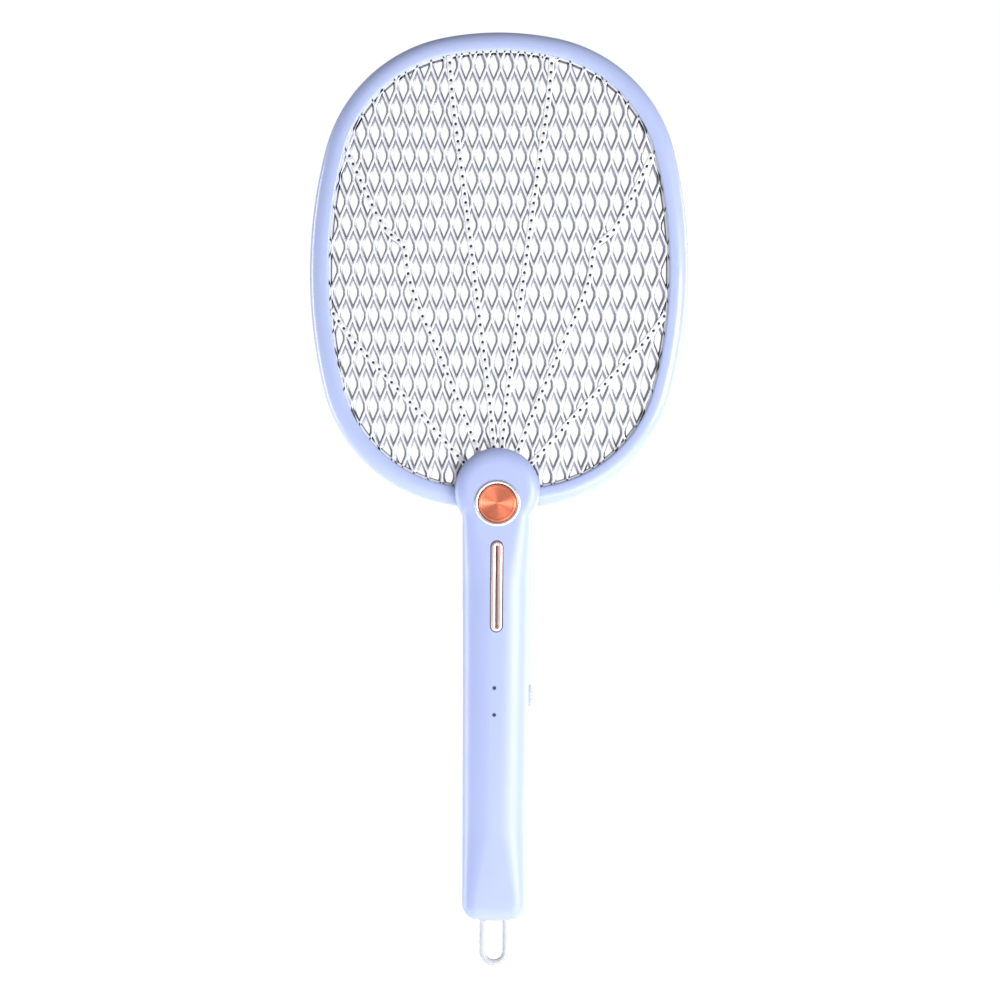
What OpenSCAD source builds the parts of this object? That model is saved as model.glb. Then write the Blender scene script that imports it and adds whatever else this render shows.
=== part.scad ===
// Rechargeable electric fly swatter: an oval three-layer head on a slim two-shell handle.
// +Z runs up the handle to the head, the front with the button faces -Y, and the origin is
// the middle of the hand grip.

/* [Head] */
// Width of the oval head
head_w = 198.6; // [190:0.2:206]
// Height of the oval head
head_h = 250.4; // [242:0.2:258]
// Height of the head's centre above the grip's middle
head_z = 275.4; // [270:0.2:280]
// Radius of the long side arcs of the oval
side_r = 260; // [240:5:300]
// Radius of the top and bottom arcs of the oval
top_r = 150; // [130:5:170]
// Radius of the shoulder arcs of the oval
shoulder_r = 80; // [70:1:85]
// Front-to-back thickness of the head
head_d = 16; // [15:0.5:17]
// Width of the rim seen from the front, with its inner lip
rim_w = 10; // [9.5:0.1:11]
// Width of the rim's round outer tube
tube_w = 6.8; // [6.4:0.1:7.2]

/* [Meshes] */
// Pitch of the diamond cells across the head
cell_w = 7.3; // [6.5:0.1:9]
// Height of one full period of the diamond cells
cell_h = 24; // [20:1:28]
// Width of a mesh strand
strand_w = 1.2; // [0.9:0.05:1.4]
// Width of a strand of the high-voltage grid
grid_strand_w = 3.2; // [2.2:0.1:3.3]
// Length of the short vertical bond between neighbouring cells
bond_l = 3; // [2:0.5:4]
// Sheet thickness of the guard meshes and the grid
sheet_t = 0.8; // [0.6:0.1:1]
// Distance from the middle plane to the outer face of a guard mesh
guard_y = 5.6; // [5:0.1:6]
// Width of the pressed ribs on a guard mesh
rib_w = 3.2; // [2.6:0.1:4]
// How far the ribs stand out of the guard mesh
rib_rise = 0.6; // [0.4:0.05:0.8]
// Diameter of the holes along the ribs
rib_hole_d = 1.6; // [1:0.1:1.8]
// Distance from one rib hole to the next
rib_hole_pitch = 4.6; // [4:0.1:6]

/* [Handle] */
// Width of the handle
handle_w = 35; // [34:0.5:37]
// Front-to-back depth of the handle
handle_d = 32; // [31:0.5:33]
// Corner radius of the handle's cross-section
handle_corner_r = 12; // [10:0.5:12.5]
// Height of the handle's bottom end below the grip's middle
handle_drop = 64.4; // [62:0.2:66]
// Corner radius of the handle's bottom end
bottom_r = 8; // [6:0.5:10]
// Corner radius of the handle's bottom end seen from the side
bottom_side_r = 6; // [5:0.5:8]
// Radius of the round hub over the rim
hub_r = 22.3; // [21:0.1:23]
// Height of the hub's centre above the grip's middle
hub_z = 160; // [158:0.5:162]
// Rounding of the hub's edge
hub_edge_r = 5; // [4:0.5:6]
// Wall thickness of the handle shells
wall = 2.2; // [2:0.1:2.4]

/* [Button] */
// Diameter of the press button
button_d = 19.6; // [19:0.1:20]
// Height of the button's axis above the grip's middle
button_z = 153.4; // [152:0.2:155]
// Travel of the button
button_travel = 1.2; // [1:0.1:1.4]
// How far the button stands out of the hub at rest
button_proud = 0.9; // [0.6:0.1:1.2]

/* [Lights and switch] */
// Height of the light bar's centre above the grip's middle
bar_z = 110; // [108:0.5:112]
// Length of the light bar's bezel
bar_l = 48; // [46:0.5:50]
// Width of the light bar's bezel
bar_w = 6.8; // [6:0.1:7.5]
// Heights of the two indicator lights above the grip's middle
dot_z = [57, 43];
// Sideways offset of the indicator lights
dot_x = -0.8; // [-1.5:0.1:0]
// Diameter of an indicator light
dot_d = 1.8; // [1.5:0.1:2.2]
// Height of the slide switch's middle above the grip's middle
switch_z = 54.5; // [52:0.5:57]
// Travel of the slide switch
switch_travel = 4; // [3:0.5:4.5]
// Length of the slide switch's knob
knob_l = 11; // [9:0.5:11]
// Height of the charging socket above the grip's middle
usb_z = 30; // [28:0.5:32]

/* [Battery] */
// Diameter of the lithium cell
cell_d = 18.4; // [18:0.1:18.6]
// Length of the lithium cell
cell_l = 65.2; // [65:0.1:65.4]

/* [Hang loop] */
// Outer width of the hang loop
loop_w = 15.6; // [14:0.2:17]
// Length of the hang loop below the handle
loop_l = 25.6; // [23:0.2:28]
// Thickness of the loop's bar
loop_bar_d = 3.4; // [3:0.1:4]

/* [Hidden] */
$fn = 64;

// Colours
lavender = [0.76, 0.78, 0.96];
pearl = [0.93, 0.94, 0.98];
mesh_white = [0.92, 0.93, 0.96];
rose_gold = [0.86, 0.52, 0.40];
copper = [0.93, 0.42, 0.24];
bright_steel = [0.82, 0.83, 0.85];
board_green = [0.10, 0.36, 0.22];
black_resin = [0.08, 0.08, 0.09];

gap = 0.3;              // running clearance between bodies
thread_gap = 0.02;      // between a screw and its pilot hole
slip = 0.1;             // assembly clearance within the fixed body
cut = 1;                // how far a cutter runs past a face

// Oval outline: two side arcs, four shoulder arcs, a top arc and a bottom arc, all tangent.
half_w = head_w / 2;
half_h = head_h / 2;
side_cx = half_w - side_r;
top_cz = half_h - top_r;
centres_dist = norm([side_cx, top_cz]);
side_reach = side_r - shoulder_r;
top_reach = top_r - shoulder_r;
along = (side_reach ^ 2 - top_reach ^ 2 + centres_dist ^ 2) / (2 * centres_dist);
across = sqrt(side_reach ^ 2 - along ^ 2);
to_top = [-side_cx, top_cz] / centres_dist;
shoulder_c = [side_cx, 0] + along * to_top + across * [-to_top.y, to_top.x];
side_a = atan2(shoulder_c.y, shoulder_c.x - side_cx);
top_a = atan2(shoulder_c.y - top_cz, shoulder_c.x);
// Each arc: centre x, centre z, radius, first angle, last angle
ARCS = [
    [side_cx, 0, side_r, -side_a, side_a],
    [shoulder_c.x, shoulder_c.y, shoulder_r, side_a, top_a],
    [0, top_cz, top_r, top_a, 180 - top_a],
    [-shoulder_c.x, shoulder_c.y, shoulder_r, 180 - top_a, 180 - side_a],
    [-side_cx, 0, side_r, 180 - side_a, 180 + side_a],
    [-shoulder_c.x, -shoulder_c.y, shoulder_r, 180 + side_a, 180 + top_a],
    [0, -top_cz, top_r, 180 + top_a, 360 - top_a],
    [shoulder_c.x, -shoulder_c.y, shoulder_r, 360 - top_a, 360 - side_a]
];
arc_step = 2.5;         // degrees between the points of an oval plate's outline

// Rim section, measured inwards from the outline and forwards from the middle plane
half_d = head_d / 2;
tube_r = tube_w / 2;
lip_front = guard_y + 1.5;
guard_back = guard_y - sheet_t;
guard_edge = rim_w - 1.9;      // how far inside the outline a guard mesh starts
border_w = 2.6;                // plain border of a mesh, its edge just inside the lip
spacer_out = tube_w + slip;
spacer_in = rim_w + 0.4;
grid_half_t = sheet_t / 2;
channel_w = 3;                 // hollow channel inside the tube

// Rim screws
rim_screw_head_r = 2.1;
rim_screw_r = 0.9;
rim_boss_r = 1.9;

// Pressed ribs of a guard mesh, right half, from the hub outwards: x, z
RIBS = [
    [[16, 173], [23, 180], [36, 195], [50, 210], [66, 227], [78.5, 240.5], [88, 254]],
    [[10, 179.5], [14.5, 191], [25.4, 218], [34, 238], [42.7, 257], [48.5, 274.5], [49, 288.5],
     [58.4, 294.5], [65, 305], [72, 320], [80, 337]],
    [[2, 180.5], [2.4, 186], [5.6, 218], [9.8, 247], [13.3, 275], [16.4, 300], [19.8, 326],
     [22.4, 345], [25.4, 366], [27.2, 391]]
];

// Handle
half_hw = handle_w / 2;
half_hd = handle_d / 2;
case_screw_places = [[-8.5, 12.8], [8.5, 12.8], [0, 138.5]];
case_screw_head_r = 2.5;
case_screw_r = 1.2;
case_boss_r = 3;
head_gap = 0.15;               // clearance of the shells round the head
tang_w = 15;                   // tongue of the rims inside the handle
tang_z = 121;
tang_t = 2.6;

// Button stack, from the hub's face backwards
face_y = -half_hd;
button_front = face_y - button_proud;
button_r = button_d / 2;
trim_in_r = button_r + gap;
trim_out_r = trim_in_r + 1.6;
cap_t = 1.2;
button_body_back = face_y + wall + 0.2;
flange_r = trim_in_r + 1.2;
flange_t = 1;
button_board_front = -6.8;
button_board_t = 1;
tact_body_t = 2.6;
tact_w = 6;
tact_stem_r = 1.7;
flange_back = button_body_back + flange_t;
plunger_back = button_board_front - tact_body_t - 1 - button_travel - 0.05;
spring_r = 4.95;
spring_wire_r = 0.45;
spring_turns = 3;

// Light bar
bezel_lip = 2.3;               // width of the bezel's rim round the lens
lens_w = bar_w - 2 * bezel_lip;
bezel_y = face_y - 0.35;
bar_hole_w = bar_w - 1.2;

// Boards
board_y = 2.6;                 // back face of the main board
board_t = 1.6;
board_front = board_y - board_t;
board_w = 24;
board_bottom = 18;
board_top = 116;
chip_y = board_front;

// Slide switch and charging socket on the right side
switch_body_x = 12;
switch_y = -1.6;
switch_body_w = 4.4;
switch_body_l = 12;
recess_depth = 1.2;
recess_l = knob_l + switch_travel + 2 * gap;
recess_w = 6.4;
knob_w = 5.6;
knob_out = 1.5;
knob_stem_l = 3;
knob_stem_w = 2;
usb_w = 3.26;
usb_len = 8.94;
usb_depth = 7.3;
usb_y = board_front - usb_w / 2;
usb_hole_w = 4.2;
usb_hole_l = 10;

// Battery
cradle_w = 22.8;
battery_bottom = -57.5;
battery_top = battery_bottom + cell_l;
lead_r = 0.65;
// Where the leads to the grid, the front guard and the back guard enter the rim: x, y
lead_places = [[10, 0], [-10, -4], [-10, 4]];
lead_top = head_z - half_h + 8;

loop_r = loop_w / 2 - loop_bar_d / 2;
loop_end_z = -handle_drop - loop_l;
loop_centre_z = loop_end_z + loop_w / 2;

// ---------- shared shapes ----------

// Turns a flat x, z shape into a slab from y0 to y1
module slab(y0, y1) {
    translate([0, y1, 0])
        rotate([90, 0, 0])
            linear_extrude(y1 - y0)
                children();
}

// Drills or builds along Y: a cylinder at x, z from y0 to y1
module rod_y(x, z, r, y0, y1) {
    translate([x, y1, z])
        rotate([90, 0, 0])
            cylinder(r = r, h = y1 - y0);
}

module box(lo, hi) {
    translate(lo)
        cube(hi - lo);
}

// Runs a section round the oval: x is the distance outwards from the outline, y is forwards
module head_sweep() {
    for (a = ARCS)
        translate([a[0], 0, head_z + a[1]])
            rotate([90, 0, 0])
                rotate([0, 0, a[3]])
                    rotate_extrude(angle = a[4] - a[3], $fn = 180)
                        translate([a[2], 0])
                            children();
}

// Points of the outline moved outwards by grow
function oval_points(grow) = [
    for (a = ARCS)
        let (n = ceil((a[4] - a[3]) / arc_step))
            for (i = [0 : n - 1])
                let (t = a[3] + (a[4] - a[3]) * i / n)
                    [a[0] + (a[2] + grow) * cos(t), head_z + a[1] + (a[2] + grow) * sin(t)]
];

module oval(grow) {
    polygon(oval_points(grow));
}

// A point on the outline moved outwards by grow, at angle t of arc k
function on_arc(k, t, grow) =
    let (a = ARCS[k])
        [a[0] + (a[2] + grow) * cos(t), head_z + a[1] + (a[2] + grow) * sin(t)];

// Screw places round the rim, the same on both halves
RIM_SCREWS = [
    for (k = [0, 4]) for (t = [-0.8, 0.15, 0.95])
        on_arc(k, (ARCS[k][3] + ARCS[k][4]) / 2 + (k == 0 ? 1 : -1) * t * side_a, -tube_r),
    for (t = [0.3, 0.7]) on_arc(2, ARCS[2][3] + t * (ARCS[2][4] - ARCS[2][3]), -tube_r),
    for (k = [5, 7]) on_arc(k, (ARCS[k][3] + ARCS[k][4]) / 2, -tube_r)
];

// Direction of a route at its point i
function heading(route, i) =
    let (v = route[min(i + 1, len(route) - 1)] - route[max(i - 1, 0)])
        v / norm(v);

// Points on the rounded version of a route: each corner is cut twice
function soften(route, times = 2) = times == 0 ? route : soften([
    route[0],
    for (i = [0 : len(route) - 2])
        for (f = [0.25, 0.75])
            route[i] + (route[i + 1] - route[i]) * f,
    route[len(route) - 1]
], times - 1);

// A round wire swept along a softened route
module wire(points, r) {
    route = soften(points);
    sides = 8;
    rings = len(route);
    skin = [
        for (i = [0 : rings - 1])
            let (t = heading(route, i),
                 u = cross(t, [0.3, 1, 0.2]) / norm(cross(t, [0.3, 1, 0.2])),
                 w = cross(t, u))
                for (k = [0 : sides - 1])
                    route[i] + r * (cos(k * 360 / sides) * u + sin(k * 360 / sides) * w)
    ];
    polyhedron(skin, [
        [for (k = [sides - 1 : -1 : 0]) k],
        for (i = [0 : rings - 2], k = [0 : sides - 1])
            let (a = i * sides, b = a + sides, m = (k + 1) % sides)
                [a + k, a + m, b + m, b + k],
        [for (k = [0 : sides - 1]) (rings - 1) * sides + k]
    ]);
}

// Self-tapping screw at x, z with its head's face at y0 and its tip at y0 - l, cross recess cut
module screw(x, z, y0, head_r, r, l) {
    head_h = head_r * 0.7;
    difference() {
        union() {
            rod_y(x, z, head_r, y0 - head_h, y0);
            rod_y(x, z, r, y0 - l, y0 - head_h);
        }
        for (a = [0, 90])
            translate([x, y0, z])
                rotate([0, a, 0])
                    cube([head_r * 1.2, head_h, head_r * 0.32], center = true);
    }
}

// ---------- head ----------

// Ways up through the rim's bottom for the three high-voltage leads
module lead_holes() {
    for (p = lead_places)
        translate([p.x, p.y, head_z - half_h - cut])
            cylinder(r = lead_r + 0.2, h = rim_w + 3 * cut, $fn = 32);
}

// Section of one rim half: a hollow round tube outside, a lower lip over the mesh inside
module rim_section() {
    arc_y = half_d - tube_r;
    lip_a = 180 - asin((lip_front - arc_y) / tube_r);
    steps = 14;
    polygon(concat(
        [for (i = [0 : steps])
            [-tube_r + tube_r * cos(i * lip_a / steps), arc_y + tube_r * sin(i * lip_a / steps)]],
        [[-rim_w + 0.5, lip_front - 0.3], [-rim_w, lip_front - 0.8], [-rim_w, guard_y],
         [-tube_w, guard_y], [-tube_w, 0], [-tube_r - channel_w / 2, 0],
         [-tube_r - channel_w / 2, arc_y], [-tube_r + channel_w / 2, arc_y],
         [-tube_r + channel_w / 2, 0], [0, 0]]
    ));
}

module rim_half() {
    difference() {
        union() {
            head_sweep()
                rim_section();
            for (p = RIM_SCREWS)
                rod_y(p.x, p.y, rim_boss_r, -half_d + tube_r - 1, 0);
            box([-tang_w / 2, -tang_t, tang_z], [tang_w / 2, 0, head_z - half_h + tube_w - 1]);
        }
        // the upper case screw's boss passes through the tongue and locks it
        rod_y(case_screw_places[2].x, case_screw_places[2].y, case_boss_r + gap, -half_d, cut);
        // pocket for the button board behind the hub's face
        box([-13, -half_d - cut, hub_z - hub_r], [13, -3.2, hub_z + 14]);
        lead_holes();
    }
}

module head_front_rim() {
    color(lavender)
        difference() {
            rim_half();
            for (p = RIM_SCREWS)
                rod_y(p.x, p.y, rim_screw_r + thread_gap, -half_d + tube_r, cut);
        }
}

module head_back_rim() {
    color(lavender)
        difference() {
            mirror([0, 1, 0])
                rim_half();
            for (p = RIM_SCREWS) {
                rod_y(p.x, p.y, rim_screw_r + 0.15, -cut, half_d);
                rod_y(p.x, p.y, rim_screw_head_r + 0.15, half_d - 2.2, half_d + cut);
            }
        }
}

// Ring that keeps a guard mesh and the high-voltage grid apart
module spacer_ring() {
    difference() {
        slab(-guard_back + 0.02, -grid_half_t)
            difference() {
                oval(-spacer_out);
                oval(-spacer_in);
            }
        for (p = lead_places)
            box([p.x - lead_r - 0.2, p.y - lead_r - 0.2, head_z - half_h + 5],
                [p.x + lead_r + 0.2, p.y + lead_r + 0.2, head_z - half_h + 9]);
    }
}

module front_spacer_ring() {
    color(pearl)
        spacer_ring();
}

module back_spacer_ring() {
    color(pearl)
        mirror([0, 1, 0])
            spacer_ring();
}

// One long diamond cell with short vertical sides, at its centre, between strands this wide
module cell(strand) {
    run = cell_w / 2;
    rise = (cell_h - 2 * bond_l) / 2;
    lean = atan2(run, rise);
    tip = (cell_h - bond_l) / 2 - strand / 2 / sin(lean);
    side = run - strand / 2;
    knee = tip - side * rise / run;
    polygon([[0, tip], [side, knee], [side, -knee], [0, -tip], [-side, -knee], [-side, knee]]);
}

// All cells whose centres lie near the oval
module cells(strand) {
    cols = ceil(half_w / cell_w) + 1;
    rows = ceil(half_h / cell_h) + 1;
    for (i = [-cols : cols], j = [-rows : rows], k = [0, 0.5]) {
        x = (i + k) * cell_w;
        z = (j + k) * cell_h;
        if ((x / half_w) ^ 2 + (z / half_h) ^ 2 < 1.3)
            translate([x, head_z + z])
                cell(strand);
    }
}

// Flat diamond lattice with a plain border
module lattice(edge, strand) {
    difference() {
        oval(-edge);
        intersection() {
            cells(strand);
            oval(-edge - border_w);
        }
    }
}

// Length of a route up to its point k
function reach(route, k) = k == 0 ? 0 : reach(route, k - 1) + norm(route[k] - route[k - 1]);

// The point at distance s along a route
function travel(route, s, k = 0) =
    let (d = norm(route[k + 1] - route[k]))
        s <= d || k == len(route) - 2
            ? route[k] + (route[k + 1] - route[k]) * s / d
            : travel(route, s - d, k + 1);

// A strip of width w along a route, with mitred corners
module strip(route, w) {
    sides = [
        for (k = [0 : len(route) - 1])
            let (t = heading(route, k))
                [-t.y, t.x] * w / 2
    ];
    polygon([
        for (k = [0 : len(route) - 1]) route[k] + sides[k],
        for (k = [len(route) - 1 : -1 : 0]) route[k] - sides[k]
    ]);
}

// The perforated strips of a guard mesh
module ribs() {
    for (side = [-1, 1], half_route = RIBS) {
        route = [for (p = half_route) [side * p.x, p.y]];
        holes = floor(reach(route, len(route) - 1) / rib_hole_pitch) - 1;
        slab(-guard_y - rib_rise, -guard_y - 0.02)
            difference() {
                intersection() {
                    strip(route, rib_w);
                    oval(-rim_w - 0.6);
                }
                for (i = [1 : holes])
                    translate(travel(route, i * rib_hole_pitch))
                        circle(d = rib_hole_d);
            }
    }
}

module guard_mesh() {
    slab(-guard_y, -guard_back)
        lattice(guard_edge, strand_w);
    ribs();
}

module front_guard_mesh() {
    color(mesh_white)
        guard_mesh();
}

module back_guard_mesh() {
    color(mesh_white)
        mirror([0, 1, 0])
            guard_mesh();
}

module high_voltage_grid() {
    color(bright_steel)
        slab(-grid_half_t + 0.02, grid_half_t - 0.02)
            lattice(guard_edge + 0.6, grid_strand_w);
}

module rim_screws() {
    color(bright_steel)
        for (p = RIM_SCREWS)
            screw(p.x, p.y, half_d - 0.7, rim_screw_head_r, rim_screw_r, 9.5);
}

// ---------- handle ----------

// Cross-section of the handle, shrunk by inset
module handle_section(inset) {
    w = handle_w - 2 * inset;
    d = handle_d - 2 * inset;
    r = handle_corner_r - inset;
    square([w - 2 * r, d], center = true);
    square([w, d - 2 * r], center = true);
    for (x = [-1, 1], y = [-1, 1])
        translate([x * (w / 2 - r), y * (d / 2 - r)])
            circle(r = r);
}

// Outline of the handle seen square on, w wide with round bottom corners of radius r
module handle_outline(w, r, inset) {
    low = -handle_drop + inset;
    translate([-w / 2, low + r])
        square([w, hub_z - low - r]);
    translate([-w / 2 + r, low])
        square([w - 2 * r, 2 * r]);
    for (x = [-1, 1])
        translate([x * (w / 2 - r), low + r])
            circle(r = r);
}

// Half section of the hub, shrunk by inset, with a round edge
module hub_section(inset) {
    r = hub_edge_r - inset;
    out = hub_r - inset;
    high = half_hd - inset;
    square([out, high - r]);
    square([out - r, high]);
    translate([out - r, high - r])
        circle(r = r);
}

// The front half of the handle and hub as a solid, shrunk by inset
module front_body(inset) {
    intersection() {
        translate([0, 0, -handle_drop - cut])
            linear_extrude(hub_z + handle_drop + cut)
                handle_section(inset);
        slab(-handle_d, 0)
            handle_outline(handle_w - 2 * inset, bottom_r - inset, inset);
        rotate([0, 0, 90])
            slab(-handle_w, handle_w)
                handle_outline(handle_d - 2 * inset, bottom_side_r - inset, inset);
    }
    translate([0, 0, hub_z])
        rotate([90, 0, 0])
            rotate_extrude($fn = 128)
                intersection() {
                    hub_section(inset);
                    square([hub_r, half_hd]);
                }
}

// Space that the head needs between the shells
module head_space() {
    slab(-half_d - head_gap, half_d + head_gap)
        oval(head_gap);
}

// Cut-outs on the right side for the slide switch and the charging socket
module side_cutouts() {
    box([half_hw - recess_depth, switch_y - recess_w / 2, switch_z - recess_l / 2],
        [half_hw + cut, switch_y + recess_w / 2, switch_z + recess_l / 2]);
    box([half_hw - wall - cut, switch_y - knob_stem_w / 2 - gap,
         switch_z - knob_stem_l / 2 - switch_travel / 2 - gap],
        [half_hw, switch_y + knob_stem_w / 2 + gap,
         switch_z + knob_stem_l / 2 + switch_travel / 2 + gap]);
    for (z = [-1, 1])
        translate([half_hw - wall - cut, usb_y, usb_z + z * (usb_hole_l - usb_hole_w) / 2])
            rotate([0, 90, 0])
                cylinder(d = usb_hole_w, h = wall + 2 * cut);
    box([half_hw - wall - cut, usb_y - usb_hole_w / 2, usb_z - (usb_hole_l - usb_hole_w) / 2],
        [half_hw + cut, usb_y + usb_hole_w / 2, usb_z + (usb_hole_l - usb_hole_w) / 2]);
}

// Room for the loop's legs through the bottom wall
module loop_cutout() {
    for (x = [-1, 1])
        translate([x * loop_r, 0, -handle_drop - cut])
            cylinder(r = loop_bar_d / 2 + slip, h = wall + 2 * cut);
}

module case_bosses() {
    for (p = case_screw_places)
        rod_y(p.x, p.y, case_boss_r, -half_hd + wall / 2, 0);
}

module handle_front_shell() {
    color(lavender)
        difference() {
            union() {
                difference() {
                    front_body(0);
                    front_body(wall);
                }
                intersection() {
                    case_bosses();
                    front_body(wall / 2);
                }
            }
            for (p = case_screw_places)
                rod_y(p.x, p.y, case_screw_r + thread_gap, -half_hd + 4, cut);
            head_space();
            side_cutouts();
            loop_cutout();
            // button hole with a seat for the trim ring
            rod_y(0, button_z, trim_out_r + slip / 2, face_y - cut, face_y + wall + cut);
            // light bar slot
            for (z = [-1, 1])
                rod_y(0, bar_z + z * (bar_l - bar_hole_w - 1.2) / 2, bar_hole_w / 2,
                      face_y - cut, face_y + wall + cut);
            box([-bar_hole_w / 2, face_y - cut, bar_z - (bar_l - bar_hole_w - 1.2) / 2],
                [bar_hole_w / 2, face_y + wall + cut, bar_z + (bar_l - bar_hole_w - 1.2) / 2]);
            for (z = dot_z)
                rod_y(dot_x, z, dot_d / 2 + slip, face_y - cut, face_y + wall + cut);
        }
}

module handle_back_shell() {
    color(lavender)
        difference() {
            union() {
                mirror([0, 1, 0])
                    difference() {
                        front_body(0);
                        front_body(wall);
                    }
                mirror([0, 1, 0])
                    intersection() {
                        case_bosses();
                        front_body(wall / 2);
                    }
            }
            for (p = case_screw_places) {
                rod_y(p.x, p.y, case_screw_r + 0.2, -cut, half_hd + cut);
                rod_y(p.x, p.y, case_screw_head_r + 0.2, 7.5, half_hd + cut);
            }
            head_space();
            side_cutouts();
            loop_cutout();
        }
}

module case_screws() {
    color(bright_steel)
        for (p = case_screw_places)
            screw(p.x, p.y, 7.5 + case_screw_head_r * 0.7, case_screw_head_r, case_screw_r, 16);
}

// Moulded loop: a U of round bar, a collar under the handle and a bar that locks it inside
module hang_loop() {
    color(pearl) {
        translate([0, 0, loop_centre_z])
            rotate([90, 0, 0])
                rotate([0, 0, 180])
                    rotate_extrude(angle = 180)
                        translate([loop_r, 0])
                            circle(d = loop_bar_d, $fn = 32);
        for (x = [-1, 1])
            translate([x * loop_r, 0, loop_centre_z])
                cylinder(d = loop_bar_d, h = -handle_drop + wall + 1 - loop_centre_z, $fn = 32);
        box([-loop_w / 2, -loop_bar_d / 2 - 0.4, -handle_drop - 1.7],
            [loop_w / 2, loop_bar_d / 2 + 0.4, -handle_drop - 0.05]);
        box([-loop_w / 2 - 1, -loop_bar_d / 2 - 0.4, -handle_drop + wall + 0.1],
            [loop_w / 2 + 1, loop_bar_d / 2 + 0.4, -handle_drop + wall + 2.6]);
    }
}

// ---------- button ----------

// Bright ring pressed into the hub round the button
module button_trim_ring() {
    color(bright_steel)
        translate([0, 0, button_z])
            rotate([90, 0, 0])
                rotate_extrude($fn = 96) {
                    translate([trim_in_r, -face_y - wall])
                        square([trim_out_r - trim_in_r, wall]);
                    translate([(trim_in_r + trim_out_r + 0.4) / 2, -face_y])
                        intersection() {
                            circle(r = (trim_out_r + 0.4 - trim_in_r) / 2, $fn = 32);
                            translate([-5, 0])
                                square([10, 0.55]);
                        }
                }
}

// Moulded button under the metal cap, with its flange and plunger
module zap_button() {
    color(black_resin)
        union() {
            rod_y(0, button_z, button_r, button_front + cap_t, button_body_back + flange_t / 2);
            rod_y(0, button_z, flange_r, button_body_back, flange_back);
            rod_y(0, button_z, 2, flange_back, plunger_back);
        }
}

// Spun copper-coloured cap on the button, dished in the middle
module button_cap() {
    color(copper)
        translate([0, 0, button_z])
            rotate([90, 0, 0])
                rotate_extrude($fn = 96)
                    polygon([[0, -button_front - cap_t], [button_r, -button_front - cap_t],
                             [button_r, -button_front - 0.5], [button_r - 0.5, -button_front],
                             [button_r - 1.6, -button_front], [button_r - 2, -button_front - 0.15],
                             [0, -button_front - 0.35]]);
}

// Return spring between the button's flange and its board
module button_spring() {
    length = button_board_front - flange_back - 2 * spring_wire_r;
    steps = spring_turns * 16;
    function coil(i) = [
        spring_r * cos(i * 360 / 16),
        flange_back + spring_wire_r + length * i / steps,
        button_z + spring_r * sin(i * 360 / 16)
    ];
    color(bright_steel)
        for (i = [0 : steps - 1]) {
            a = coil(i);
            v = coil(i + 1) - a;
            translate(a)
                rotate([0, acos(v.z / norm(v)), atan2(v.y, v.x)])
                    cylinder(r = spring_wire_r, h = norm(v), $fn = 6);
        }
}

// Small push switch on the button board
module tact_switch() {
    color(black_resin) {
        box([-tact_w / 2, button_board_front - tact_body_t, button_z - tact_w / 2],
            [tact_w / 2, button_board_front - 0.02, button_z + tact_w / 2]);
        rod_y(0, button_z, tact_stem_r, button_board_front - tact_body_t - 1,
              button_board_front - tact_body_t + 0.5);
    }
}

module button_board() {
    color(board_green)
        box([-12, button_board_front, button_z - 11],
            [12, button_board_front + button_board_t, button_z + 9]);
}

// ---------- lights, switch and socket ----------

// A slot shape with round ends, centred on the light bar
module bar_slot(w, l) {
    translate([-w / 2, bar_z - (l - w) / 2])
        square([w, l - w]);
    for (z = [-1, 1])
        translate([0, bar_z + z * (l - w) / 2])
            circle(d = w, $fn = 48);
}

module light_bar_bezel() {
    color(rose_gold)
        difference() {
            union() {
                slab(bezel_y, face_y)
                    bar_slot(bar_w, bar_l);
                slab(face_y - 0.01, face_y + wall + 0.6)
                    bar_slot(bar_hole_w - 2 * slip, bar_l - 1.2 - 2 * slip);
            }
            slab(bezel_y - cut, face_y + wall + 2)
                bar_slot(lens_w, bar_l - 2 * bezel_lip);
        }
}

module light_bar_lens() {
    color([0.45, 0.20, 0.16, 0.8])
        slab(bezel_y + 0.4, face_y + wall + 0.6)
            bar_slot(lens_w - slip, bar_l - 2 * bezel_lip - slip);
}

// Strip board behind the lens with its row of light emitting chips
module light_bar_board() {
    back = face_y + wall + 2.8;
    color(board_green)
        box([-3.4, back - 1, bar_z - 23], [3.4, back, bar_z + 21]);
    color([1, 0.95, 0.75])
        for (i = [-2 : 2])
            box([-0.8, back - 1.7, bar_z + i * 8.4 - 1.4], [0.8, back - 0.9, bar_z + i * 8.4 + 1.4]);
}

module indicator_light_pipes() {
    color([0.16, 0.14, 0.20])
        for (z = dot_z) {
            rod_y(dot_x, z, dot_d / 2, face_y - 0.15, board_front - 1);
            rod_y(dot_x, z, dot_d / 2 + 0.8, face_y + wall + 0.1, face_y + wall + 1.1);
        }
}

// Ridged knob of the slide switch, drawn at the lower end of its travel
module slide_switch_knob() {
    low = switch_z - switch_travel / 2;
    color(lavender)
        difference() {
            union() {
                box([half_hw - recess_depth + gap, switch_y - knob_w / 2, low - knob_l / 2],
                    [half_hw + knob_out, switch_y + knob_w / 2, low + knob_l / 2]);
                box([switch_body_x + 1.4, switch_y - knob_stem_w / 2, low - knob_stem_l / 2],
                    [half_hw, switch_y + knob_stem_w / 2, low + knob_stem_l / 2]);
            }
            for (i = [-2 : 2])
                translate([half_hw + knob_out, switch_y - knob_w, low + i * 1.8])
                    rotate([-90, 0, 0])
                        cylinder(r = 0.45, h = 2 * knob_w, $fn = 16);
        }
}

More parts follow.
